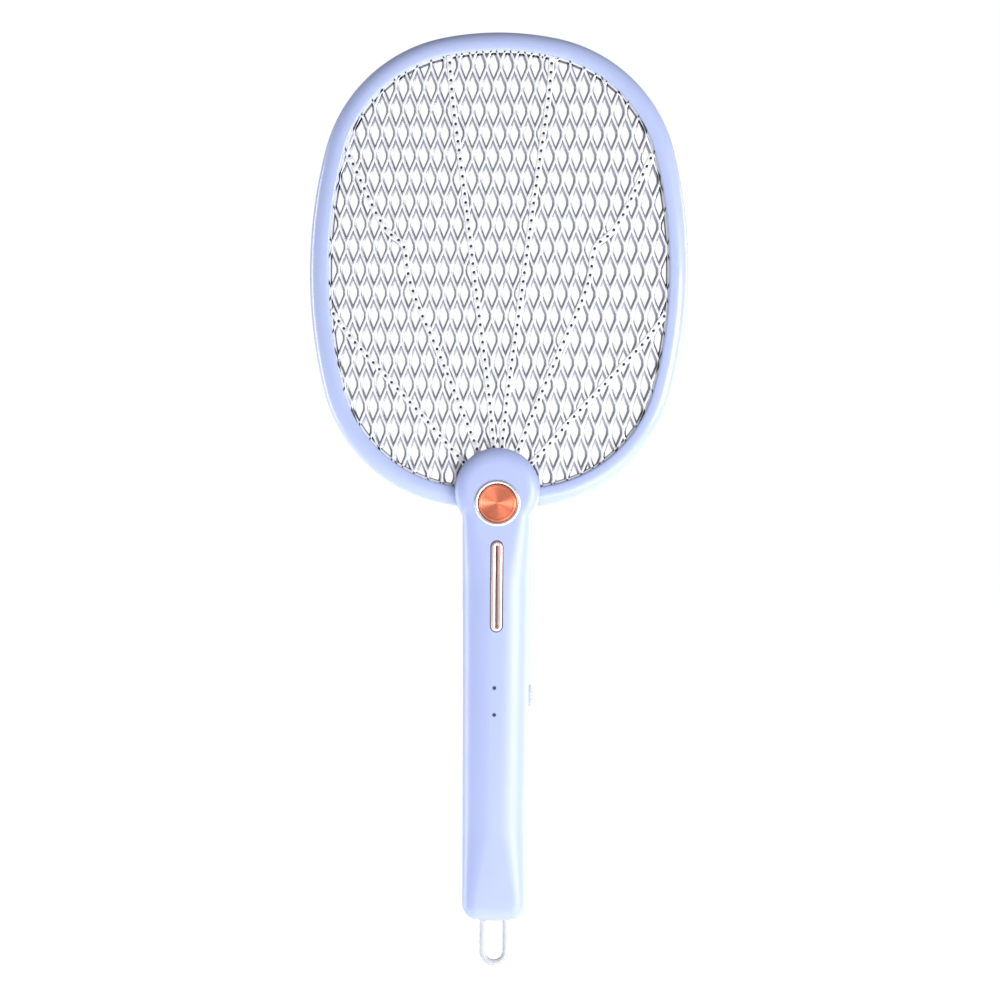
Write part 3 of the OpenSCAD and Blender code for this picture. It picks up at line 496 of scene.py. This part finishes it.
def lattice(name, y_mid, half_t, strand, inset, paint):
    """Diamond lattice of flat strands with chamfered edges and a plain border, clipped to the
    oval."""
    verts, faces, index = [], [], {}
    low_t, share = half_t * 0.4, CHAMFER / (strand / 2)

    def vert(point, y):
        """Index of the point at depth y, shared by the faces that meet there."""
        key = (round(point[0], 4), round(y, 4), round(point[1], 4))
        if key not in index:
            index[key] = len(verts)
            verts.append((point[0], y, point[1]))
        return index[key]

    def between(p, q):
        """The point on the chamfer's inner line, near p on the way to q."""
        return tuple(a + (b - a) * share / 2 for a, b in zip(p, q))

    def strip(p0, p1, q0, q1):
        """Strand between two cells, whose sides are p0 to p1 and q0 to q1."""
        lines = ((p0, p1), (between(p0, q0), between(p1, q1)),
                 (between(q0, p0), between(q1, p1)), (q0, q1))
        for side in (-1, 1):
            heights = [y_mid + side * t for t in (low_t, half_t, half_t, low_t)]
            for (a, ya), (b, yb) in zip(zip(lines, heights), zip(lines[1:], heights[1:])):
                faces.append([vert(a[0], ya), vert(a[1], ya), vert(b[1], yb), vert(b[0], yb)])
        for a, b in ((p0, p1), (q0, q1)):
            faces.append([vert(a, y_mid - low_t), vert(a, y_mid + low_t),
                          vert(b, y_mid + low_t), vert(b, y_mid - low_t)])

    def knot(*corners):
        """Junction of three strands, between the corners of three cells."""
        for side in (-1, 1):
            low, high = y_mid + side * low_t, y_mid + side * half_t
            rim_line = []
            for k, p in enumerate(corners):
                before, after = (between(p, corners[m]) for m in (k - 1, (k + 1) % 3))
                faces.append([vert(p, low), vert(before, high), vert(after, high)])
                rim_line += [vert(before, high), vert(after, high)]
            faces.append(rim_line)

    cols, rows = math.ceil(HALF_W / CELL_W) + 2, math.ceil(HALF_H / CELL_H) + 2
    for i in range(-cols, cols + 1):
        for j in range(-rows, rows + 1):
            for k in (0, 0.5):
                x, z = (i + k) * CELL_W, (j + k) * CELL_H
                if (x / (HALF_W + 4)) ** 2 + (z / (HALF_H + 12)) ** 2 > 1.12:
                    continue
                here, right, up, down = (
                    cell_corners(x + dx * CELL_W, HEAD_Z + z + dz * CELL_H, strand)
                    for dx, dz in ((0, 0), (1, 0), (0.5, 0.5), (0.5, -0.5)))
                strip(here["ru"], here["rd"], right["lu"], right["ld"])
                strip(here["top"], here["ru"], up["ld"], up["bottom"])
                strip(here["rd"], here["bottom"], down["top"], down["lu"])
                knot(here["ru"], right["lu"], up["bottom"])
                knot(here["rd"], down["top"], right["ld"])
    obj = piece(name, verts, faces, paint, body=None)
    face_out(obj)
    clip_to_oval(obj, inset)
    border = [(-inset, -half_t), (-inset, half_t), (-inset - BORDER_W, half_t),
              (-inset - BORDER_W, -half_t)]
    ring = piece("border", *sweep(oval(0, 2.0), [(u, y_mid + v) for u, v in border], 1), paint,
                 body=None)
    return join_meshes(obj, ring)


def clip_to_oval(obj, inset):
    """Cuts away what lies outside the oval, one tangent plane after another."""
    outline = oval(-inset, 14.0)
    out = normals_of(outline)
    with editing(obj) as bm:
        for (x, z), (nx, nz) in zip(outline, out):
            geometry = bm.verts[:] + bm.edges[:] + bm.faces[:]
            bmesh.ops.bisect_plane(bm, geom=geometry, plane_co=Vector((x, 0, z)) * MM,
                                   plane_no=Vector((nx, 0, nz)), clear_outer=True)
        loose = [e for e in bm.edges if e.is_boundary]
        bmesh.ops.holes_fill(bm, edges=loose, sides=0)


def join_meshes(obj, other):
    """Adds the other mesh, with its materials, to obj."""
    names = [m.name for m in obj.data.materials]
    remap = []
    for m in other.data.materials:
        if m.name not in names:
            obj.data.materials.append(m)
            names.append(m.name)
        remap.append(names.index(m.name))
    for face in other.data.polygons:
        face.material_index = remap[face.material_index]
    with editing(obj) as bm:
        bm.from_mesh(other.data)
    bpy.data.objects.remove(other)
    return obj


def smooth_route(route, rounds=3):
    """Cuts the corners of a route a few times."""
    for _ in range(rounds):
        cut = [route[0]]
        for (xa, za), (xb, zb) in zip(route, route[1:]):
            cut += [(xa * 0.75 + xb * 0.25, za * 0.75 + zb * 0.25),
                    (xa * 0.25 + xb * 0.75, za * 0.25 + zb * 0.75)]
        route = cut + [route[-1]]
    return route


class Route:
    """A line that can be asked for a point at a distance along and a distance aside."""

    def __init__(self, points):
        """p holds the points, s the distance along to each, and way the direction at each."""
        self.p = np.array(points, float)
        step = np.linalg.norm(np.diff(self.p, axis=0), axis=1)
        self.s = np.concatenate([[0], np.cumsum(step)])
        way = np.diff(self.p, axis=0) / step[:, None]
        at_points = np.vstack([way[:1], (way[:-1] + way[1:]) / 2, way[-1:]])
        self.way = at_points / np.linalg.norm(at_points, axis=1)[:, None]
        self.length = self.s[-1]

    def at(self, s, t):
        """The x and z of the point at distance s along and t to the left."""
        x, z = (np.interp(s, self.s, self.p[:, k]) for k in (0, 1))
        wx, wz = (np.interp(s, self.s, self.way[:, k]) for k in (0, 1))
        d = math.hypot(wx, wz)
        return x - wz / d * t, z + wx / d * t


def rib_tiles(route, y_base, sign, verts, faces, marks):
    """One perforated strip: square tiles, each with a round hole, and rolled long edges. Each hole
    is blind: its floor and the lowest part of its wall carry painted shade, standing in for the
    dark seen through a real perforation. Marks holds each face's material: 0 for the steel, 1 for
    the painted shade in a hole."""
    count = max(1, int(route.length / RIB_PITCH))
    pitch = route.length / count
    flat = RIB_W / 2 - 0.45
    top = y_base + RIB_RISE

    def vert(s, t, y):
        """Index of a new point at distance s along the strip and t aside, at depth y."""
        x, z = route.at(s, t)
        verts.append((x, sign * y, z))
        return len(verts) - 1

    quarter = (0, 0.25, 0.5, 0.75)
    rolled = ((flat, top), (flat + 0.25, top - 0.07), (flat + 0.4, top - 0.24),
              (RIB_W / 2, y_base))
    for tile in range(count):
        s0, mid = tile * pitch, (tile + 0.5) * pitch
        edge = [(s0 + q * pitch, -flat) for q in quarter]
        edge += [(s0 + pitch, -flat + q * 2 * flat) for q in quarter]
        edge += [(s0 + (1 - q) * pitch, flat) for q in quarter]
        edge += [(s0, flat - q * 2 * flat) for q in quarter]
        outer = [vert(s, t, top) for s, t in edge]
        rings = [outer]
        for r, y in ((RIB_HOLE_R + 0.2, top), (RIB_HOLE_R, top - 0.14),
                     (RIB_HOLE_R, GUARD_Y + 0.04)):
            ring = []
            for s, t in edge:
                a = math.atan2(t, s - mid)
                ring.append(vert(mid + r * math.cos(a), r * math.sin(a), y))
            rings.append(ring)
        n = len(edge)
        # The wall's lowest ring and the floor closing the hole are painted shade, in place of the
        # dark seen through a real perforation.
        for depth, (ra, rb) in enumerate(zip(rings, rings[1:])):
            for k in range(n):
                faces.append((ra[k], ra[(k + 1) % n], rb[(k + 1) % n], rb[k]))
                marks.append(1 if depth == 2 else 0)
        faces.append(tuple(rings[-1]))
        marks.append(1)
        for side in (-1, 1):
            rows = [[vert(s0 + q * pitch, side * t, y) for q in (*quarter, 1.0)]
                    for t, y in rolled]
            for ra, rb in zip(rows, rows[1:]):
                for k in range(4):
                    faces.append((ra[k], ra[k + 1], rb[k + 1], rb[k]))
                    marks.append(0)
        left, right = ([vert(s0 + q * pitch, t, y_base) for q in (*quarter, 1.0)]
                       for t in (-RIB_W / 2, RIB_W / 2))
        for k in range(4):
            faces.append((left[k], left[k + 1], right[k + 1], right[k]))
            marks.append(0)
    for s in (0.0, route.length):
        section = [vert(s, t, y) for t, y in rolled] + [vert(s, -t, y) for t, y in rolled[::-1]]
        faces.append(tuple(section))
        marks.append(0)


def guard(sign, name, node):
    """One guard mesh: the lattice with its six perforated ribs, as one stamped piece."""
    obj = lattice(name, sign * (GUARD_Y - SHEET_T / 2), SHEET_T / 2, GUARD_STRAND_W,
                  GUARD_INSET, guard_paint)
    verts, faces, marks = [], [], []
    for side in (-1, 1):
        for points in RIBS:
            route = Route(smooth_route([(side * x, z) for x, z in points]))
            rib_tiles(route, GUARD_Y - 0.12, sign, verts, faces, marks)
    ribs = piece("ribs", verts, faces, guard_paint, body=None)
    # The ribs' second material is painted shade for their holes.
    ribs.data.materials.append(hole_shade_paint)
    ribs.data.polygons.foreach_set("material_index", marks)
    tidy(ribs, 0.01)
    clip_to_oval(ribs, RIM_W + 0.2)
    finish_piece(join_meshes(obj, ribs), ROOT, (node,), 50)


guard(-1, "front_guard_skin", "front_guard_mesh")
guard(1, "back_guard_skin", "back_guard_mesh")
grid = lattice("grid_skin", 0.0, SHEET_T / 2 - 0.02, GRID_STRAND_W, GRID_INSET, grid_paint)
finish_piece(grid, ROOT, ("high_voltage_grid",), 50)


# ---------- handle shells ----------

def handle_half_width(z):
    """Half the handle's width, which grows a little towards the hub."""
    return float(np.interp(z, (BOTTOM_Z, 60, NECK_Z), (16.8, 17.4, 18.0)))


def handle_outline():
    """Front outline: tapered handle with round bottom corners, filleted into the round hub."""
    corner_r = FOOT_CORNER_R
    reach = handle_half_width(NECK_Z) + HUB_FILLET_R
    fillet_z = HUB_Z - math.sqrt((HUB_R + HUB_FILLET_R) ** 2 - reach ** 2)
    lean = math.degrees(math.atan2(HUB_Z - fillet_z, reach))
    foot_w = handle_half_width(BOTTOM_Z)
    right = [(x, BOTTOM_Z) for x in np.linspace(0, foot_w - corner_r, 5)[1:-1]]
    right += ring_points(foot_w - corner_r, BOTTOM_Z + corner_r, corner_r, 15, -90, 0)
    right += [(handle_half_width(z), z)
              for z in np.linspace(BOTTOM_Z + corner_r, fillet_z, 62)[1:-1]]
    right += ring_points(reach, fillet_z, HUB_FILLET_R, 8, 180 - lean, 180)[::-1]
    right += ring_points(0, HUB_Z, HUB_R, 60, -lean, 90)[1:-1]
    left = [(-x, z) for x, z in right][::-1]
    return [(0, BOTTOM_Z)] + right + [(0, HUB_Z + HUB_R)] + left


def edge_sizes(z):
    """Width and depth of the elliptical edge of the face, small round the hub and the bottom."""
    heights = (BOTTOM_Z, -52, -18, 112, 150, 182)
    return (float(np.interp(z, heights, (7.2, 7.6, 15, 15, 6.5, 8.5))),
            float(np.interp(z, heights, (6.5, 7.4, 11.4, 11.4, 5.4, 5.6))))


def shell(sign, name, node):
    """One handle shell: the outline drawn in over a round edge to a flat face, made hollow and
    cut for what shows through it."""
    outline = handle_outline()
    out = normals_of(outline)
    edges = [edge_sizes(z) for _, z in outline]
    loops = [[(x, sign * SEAM, z) for x, z in outline]]
    steps = 16
    for k in range(steps + 1):
        a = math.pi / 2 * k / steps
        loops.append([
            (x - nx * w * (1 - math.cos(a)), sign * (FACE_Y - d + d * math.sin(a)),
             z - nz * w * (1 - math.cos(a)))
            for (x, z), (nx, nz), (w, d) in zip(outline, out, edges)])
    verts, faces = loops_mesh(loops, closed=False)
    n = len(outline)
    faces.append(tuple(range((steps + 1) * n, (steps + 2) * n)))
    obj = piece(name, verts, faces, shell_paint, body=None)
    with editing(obj) as bm:
        bmesh.ops.recalc_face_normals(bm, faces=bm.faces)
        flat_face = max(bm.faces, key=lambda f: len(f.verts))
        if flat_face.normal.y * sign < 0:
            bmesh.ops.reverse_faces(bm, faces=bm.faces)
    thick = obj.modifiers.new("wall", "SOLIDIFY")
    thick.thickness, thick.offset, thick.use_even_offset = WALL * MM, -1, True
    settle(obj)
    head_gap, bar_ledge, bar_seat = 0.15, 1.2, 0.9
    cutters = [prism(oval(head_gap, 2.5), -HALF_D - head_gap, HALF_D + head_gap),
               *side_cutters()]
    low_y, high_y = sorted((sign * (FACE_Y - WALL - 1.5), sign * (FACE_Y + 1)))
    if sign < 0:
        through = [ring_points(0, BUTTON_Z, TRIM_OUT_R + 0.05, 96),
                   stadium(0, BAR_Z, BAR_W - bar_ledge, BAR_L - bar_ledge)]
        cutters += [prism(hole, low_y, high_y) for hole in through]
        cutters.append(prism(stadium(0, BAR_Z, BAR_W, BAR_L), -FACE_Y - 1, -FACE_Y + bar_seat))
        cutters += [prism(ring_points(DOT_X, z, DOT_R + 0.1, 32), low_y, high_y)
                    for z in DOT_ZS]
    else:
        cutters += [prism(ring_points(x, z, WELL_R, 40), low_y, high_y) for x, z in CASE_SCREWS]
    carve(obj, cutters)
    tidy(obj)
    finish_piece(obj, ROOT, (node,), 28)


def screw_wells():
    """The bosses behind the back shell's screw holes, each with a floor under the screw's head."""
    def under_face(x, z):
        """The depth at which a boss ends, inside the shell's wall."""
        w, d = edge_sizes(z)
        lean = math.acos(1 - min(1, (handle_half_width(z) - abs(x)) / w))
        return FACE_Y - d * (1 - math.sin(lean)) - 0.8

    under_floor = WELL_FLOOR_Y - WELL_FLOOR_T
    section = ((SHANK_R, under_floor), (BOSS_R, under_floor), (BOSS_R, None), (WELL_R, None),
               (WELL_R, WELL_FLOOR_Y), (SHANK_R, WELL_FLOOR_Y))
    verts, faces = [], []
    for cx, cz in CASE_SCREWS:
        loops = [[(x, y or under_face(x, z), z) for x, z in ring_points(cx, cz, r, 40)]
                 for r, y in section]
        start = len(verts)
        boss_verts, boss_faces = loops_mesh(loops)
        verts += boss_verts
        faces += [tuple(start + i for i in face) for face in boss_faces]
    piece("screw_wells_skin", verts, faces, shell_paint, ROOT, "shell_plastic")


def side_cutters():
    """The switch recess, its slot and the socket's opening on the right side."""
    slot_l = 3 + SWITCH_TRAVEL + 0.6
    recess = side_prism(side_stadium(SWITCH_Y, SWITCH_Z, RECESS_W, RECESS_L, 3.0),
                        SIDE_X - RECESS_DEEP, SIDE_X + 3)
    slot = block((SIDE_X - WALL - 2, SWITCH_Y - 1.3, SWITCH_Z - slot_l / 2),
                 (SIDE_X, SWITCH_Y + 1.3, SWITCH_Z + slot_l / 2))
    port = side_prism(side_stadium(USB_Y, USB_Z, USB_HOLE_W, USB_HOLE_L, USB_HOLE_W / 2 - 0.01),
                      SIDE_X - WALL - 2, SIDE_X + 3)
    return [recess, slot, port]


def side_stadium(cy, cz, w, length, r):
    """A rounded box outline seen from the side: y, z points."""
    points = []
    for sy, sz, a in ((1, 1, 0), (-1, 1, 90), (-1, -1, 180), (1, -1, 270)):
        points += ring_points(cy + sy * (w / 2 - r), cz + sz * (length / 2 - r), r, 10, a, a + 90)
    return points


def side_prism(outline, x0, x1):
    """A cutter along x from a y, z outline."""
    loops = [[(x, y, z) for y, z in outline] for x in (x0, x1)]
    verts, faces = loops_mesh(loops, closed=False, caps=True)
    return piece("cutter", verts, faces, hole_shade_paint, body=None)


shell(-1, "front_shell_skin", "handle_front_shell")
shell(1, "back_shell_skin", "handle_back_shell")
screw_wells()


# ---------- button ----------

def button_cap():
    """Spun cap: fine turned grooves on a shallow dish, with a bright chamfered edge."""
    front = FACE_Y + BUTTON_PROUD
    section = [(0.02, front - CAP_T), (BUTTON_R, front - CAP_T), (BUTTON_R, front - 0.45),
               (BUTTON_R - 0.12, front - 0.18), (BUTTON_R - 0.4, front - 0.03),
               (BUTTON_R - 0.8, front), (BUTTON_R - 1.3, front - 0.02),
               (BUTTON_R - 1.5, front - 0.14)]
    grooves, groove_deep = 34, 0.028
    outer = BUTTON_R - 1.6
    for k in range(grooves * 2):
        r = outer * (1 - k / (grooves * 2))
        dish = 0.16 + 0.22 * (1 - (r / outer) ** 2)
        section.append((max(r, 0.05), front - dish - (groove_deep if k % 2 else 0.0)))
    section.append((0.02, front - 0.38))
    verts, faces = lathe(0, BUTTON_Z, section)
    piece("button_cap_skin", verts, faces, copper_paint, BUTTON, "copper_metal", ("button_cap",),
          origin=(0, -front, BUTTON_Z))


def trim_ring():
    """Bright half-round ring pressed into the hub round the button."""
    lip_out_r, rise = TRIM_OUT_R + 0.4, 0.55
    half = (lip_out_r - TRIM_IN_R) / 2
    section = [(TRIM_IN_R, FACE_Y - WALL), (TRIM_IN_R, FACE_Y)]
    section += [(TRIM_IN_R + half * (1 - math.cos(a)), FACE_Y + rise * math.sin(a))
                for a in np.radians(range(15, 180, 15))]
    section += [(lip_out_r, FACE_Y), (TRIM_OUT_R, FACE_Y - 0.02), (TRIM_OUT_R, FACE_Y - WALL)]
    verts, faces = lathe(0, BUTTON_Z, section)
    piece("trim_ring_skin", verts, faces, chrome_paint, ROOT, "trim_chrome",
          ("button_trim_ring",))


button_cap()
trim_ring()


# ---------- light bar ----------

def bezel():
    """Convex rose-gold frame round the lens."""
    half = (BAR_LIP - BEZEL_INSET + LENS_INSET) / 2
    section = [(half - 0.3, -WALL - 0.6), (half - 0.3, -0.85), (half, -0.85)]
    section += [(half * math.cos(a), 0.05 + 0.55 * math.sin(a))
                for a in np.radians(range(10, 180, 10))]
    section += [(-half, -0.35), (-half, -WALL - 0.6)]
    around = BAR_LIP + BEZEL_INSET + LENS_INSET
    path = stadium(0, BAR_Z, BAR_W - around, BAR_L - around, 33)
    verts, faces = sweep(path, [(u, v + FACE_Y) for u, v in section])
    piece("bezel_skin", verts, faces, rose_paint, ROOT, "rose_gold", ("light_bar_bezel",))


def lens():
    """Narrow smoked lens, a little domed, inside the bezel."""
    around = 2 * (BAR_LIP + LENS_INSET) + 0.06
    w, length = BAR_W - around, BAR_L - around
    loops = []
    for inset, v in ((0, FACE_Y - WALL - 0.6), (0, FACE_Y - 0.30), (0.12, FACE_Y - 0.16),
                     (0.25, FACE_Y - 0.08), (0.45, FACE_Y - 0.04)):
        loops.append([(x, -v, z) for x, z in
                      stadium(0, BAR_Z, w - 2 * inset, length - 2 * inset, 20)])
    verts, faces = loops_mesh(loops, closed=False, caps=True)
    piece("lens_skin", verts, faces, lens_paint, ROOT, "bar_lens", ("light_bar_lens",))


def bezel_gap_strip():
    """Dark strip in the recess round the bezel: painted shade for the shadow gap between bezel and
    shell.
    """
    half = BEZEL_INSET / 2
    section = [(half, -0.88), (half, -0.35), (half - 0.12, -0.22), (0.12 - half, -0.22),
               (-half, -0.35), (-half, -0.88)]
    path = stadium(0, BAR_Z, BAR_W - BEZEL_INSET, BAR_L - BEZEL_INSET, 33)
    verts, faces = sweep(path, [(u, v + FACE_Y) for u, v in section])
    piece("bezel_gap_strip_skin", verts, faces, bezel_gap_shade_paint, ROOT, "dark_plastic")


bezel()
lens()
bezel_gap_strip()


# ---------- switch knob and hang loop ----------

def switch_knob():
    """Rounded knob with five grip ridges, on its stem."""
    mid_z = SWITCH_Z - SWITCH_TRAVEL / 2
    top_x, base_x = SIDE_X + 1.5, SIDE_X - RECESS_DEEP + 0.3
    ridge_h, ridge_pitch, ridged_half = 0.32, 1.8, 4.1
    corner, half = 1.0, KNOB_L / 2
    corner_x = corner - 0.02

    def end(way):
        """The rounded end of the profile, below for way -1, from the base to the top."""
        points = [(base_x, mid_z + way * half), (top_x - 1.3, mid_z + way * half)]
        return points + [(top_x - ridge_h - corner_x * (1 - math.sin(a)),
                          mid_z + way * (half - corner * (1 - math.cos(a))))
                         for a in np.linspace(0.2, 1.4, 5)]

    ridges = []
    for z in np.linspace(corner - half, half - corner, 81):
        wave = max(0.0, math.cos(2 * math.pi * z / ridge_pitch)) if abs(z) < ridged_half else 0.0
        ridges.append((top_x - ridge_h + ridge_h * wave, mid_z + z))
    profile = end(-1) + ridges + end(1)[::-1]
    loops = []
    for inset, y in ((0.35, -KNOB_W / 2), (0.1, -KNOB_W / 2 + 0.12), (0.0, -KNOB_W / 2 + 0.4),
                     (0.0, KNOB_W / 2 - 0.4), (0.1, KNOB_W / 2 - 0.12), (0.35, KNOB_W / 2)):
        loops.append([(max(x - inset, base_x), SWITCH_Y + y, z) for x, z in profile])
    verts, faces = loops_mesh(loops, closed=False, caps=True)
    obj = piece("switch_knob_skin", verts, faces, knob_paint, body=None)
    stem = block((13.4, SWITCH_Y - 1, mid_z - 1.5), (SIDE_X - 0.6, SWITCH_Y + 1, mid_z + 1.5))
    carve(obj, [stem], "UNION")
    one_paint(obj, knob_paint)
    finish_piece(obj, KNOB, ("slide_switch_knob",), 30)


def hang_loop():
    """U of round bar with a collar under the handle and a locking bar inside it."""
    r_mid = (LOOP_W - LOOP_BAR_D) / 2
    centre_z = BOTTOM_Z - LOOP_L + LOOP_W / 2
    top_z = BOTTOM_Z + WALL + 1
    path = [(-r_mid, z) for z in np.linspace(top_z, centre_z, 12)]
    path += ring_points(0, centre_z, r_mid, 41, 180, 360 - 1e-6)[1:-1]
    path += [(r_mid, z) for z in np.linspace(centre_z, top_z, 12)]
    route = Route(path)
    loops = []
    for s in route.s:
        ring = []
        for k in range(24):
            a = 2 * math.pi * k / 24
            x, z = route.at(s, LOOP_BAR_D / 2 * math.cos(a))
            ring.append((x, LOOP_BAR_D / 2 * math.sin(a), z))
        loops.append(ring)
    verts, faces = loops_mesh(loops, closed=False, caps=True)
    obj = piece("hang_loop_skin", verts, faces, loop_paint, body=None)
    half_y, inside_z = LOOP_BAR_D / 2 + 0.4, BOTTOM_Z + WALL
    collar = rounded_bar(LOOP_W / 2 + 0.4, half_y, BOTTOM_Z - 1.7, BOTTOM_Z - 0.05, 0.6)
    lock = rounded_bar(LOOP_W / 2 + 1, half_y, inside_z + 0.1, inside_z + 2.6, 0.5)
    carve(obj, [collar, lock], "UNION")
    one_paint(obj, loop_paint)
    finish_piece(obj, ROOT, ("hang_loop",), 40)


def rounded_bar(half_x, half_y, z0, z1, r):
    """A bar across the handle with rounded edges."""
    run = half_x - half_y
    quarter = np.radians((0, 30, 60, 90))
    levels = [(a, z0 + r * (1 - math.cos(a))) for a in quarter]
    levels += [(a, z1 - r * (1 - math.cos(a))) for a in quarter[::-1]]
    loops = []
    for a, z in levels:
        end_r = half_y - r * (1 - math.sin(a))
        outline = ring_points(run, 0, end_r, 17, -90, 90) + ring_points(-run, 0, end_r, 17, 90, 270)
        loops.append([(x, y, z) for x, y in outline])
    verts, faces = loops_mesh(loops, closed=False, caps=True)
    return piece("bar", verts, faces, loop_paint, body=None)


switch_knob()
hang_loop()


# ---------- stage, lights and camera ----------

def stage():
    """A large pale floor below the tool, and a sky that shows white but lights softly."""
    half, z = 14.0, -0.42
    mesh = bpy.data.meshes.new("floor")
    mesh.from_pydata([(-half, -half, z), (half, -half, z), (half, half, z), (-half, half, z)], [],
                     [(0, 1, 2, 3)])
    floor = bpy.data.objects.new("floor", mesh)
    bpy.context.scene.collection.objects.link(floor)
    paint = Paint("pale_floor", (0.93, 0.935, 0.95), 0.8, Emission_Color=(1, 1, 1, 1),
                  Emission_Strength=0.8)
    mesh.materials.append(paint.drift(300, 0.01).mat)
    world = bpy.data.worlds.new("sky")
    bpy.context.scene.world = world
    world.use_nodes = True
    tree = world.node_tree
    sky = tree.nodes["Background"]
    sky.inputs["Color"].default_value = (0.95, 0.965, 1.0, 1)
    sky.inputs["Strength"].default_value = 0.3
    seen = tree.nodes.new("ShaderNodeBackground")
    seen.inputs["Color"].default_value = (1, 1, 1, 1)
    rays = tree.nodes.new("ShaderNodeLightPath")
    mix = tree.nodes.new("ShaderNodeMixShader")
    tree.links.new(rays.outputs["Is Camera Ray"], mix.inputs["Fac"])
    tree.links.new(sky.outputs["Background"], mix.inputs[1])
    tree.links.new(seen.outputs["Background"], mix.inputs[2])
    tree.links.new(mix.outputs["Shader"], tree.nodes["World Output"].inputs["Surface"])


def softbox(name, place, aim, size, radiance, color=(1, 1, 1)):
    """An even rectangular light. Its power follows from its size and brightness."""
    light = bpy.data.lights.new(name, "AREA")
    light.shape, light.size, light.size_y = "RECTANGLE", size[0], size[1]
    light.energy, light.color = radiance * math.pi * size[0] * size[1], color
    obj = bpy.data.objects.new(name, light)
    bpy.context.scene.collection.objects.link(obj)
    obj.location = place
    obj.rotation_euler = (Vector(aim) - Vector(place)).to_track_quat("-Z", "Y").to_euler()


def camera():
    """Square on to the front and rolled by less than half a degree, so that the tool leans."""
    wide, distance = 0.5235, 1.6    # metres across the front face, and to it
    data = bpy.data.cameras.new("camera")
    data.sensor_width = 36.0        # mm
    data.lens = data.sensor_width * distance / wide
    obj = bpy.data.objects.new("camera", data)
    bpy.context.scene.collection.objects.link(obj)
    obj.location = (0.0014, -distance - HALF_D * MM, 0.155)
    obj.rotation_euler = (math.radians(90), math.radians(-0.435), 0)
    bpy.context.scene.camera = obj


MIDDLE = (0, 0, 0.12)
stage()
softbox("key_right", (1.08, -1.08, 0.12), MIDDLE, (0.8, 0.5), 13.0)
softbox("edge_right", (1.2, 0.6, 0.0), MIDDLE, (0.8, 1.3), 3.2)
softbox("low_front", (0.28, -0.62, -0.34), (0, 0, -0.03), (0.5, 0.4), 3.4)
softbox("strip_left", (-1.4, 0.3, 0.1), MIDDLE, (0.4, 1.3), 8.0, (0.95, 0.98, 1.0))
softbox("back_soft", (0.3, 1.9, 0.1), MIDDLE, (1.2, 1.2), 0.8)
camera()
bpy.context.scene.view_settings.view_transform = "Standard"
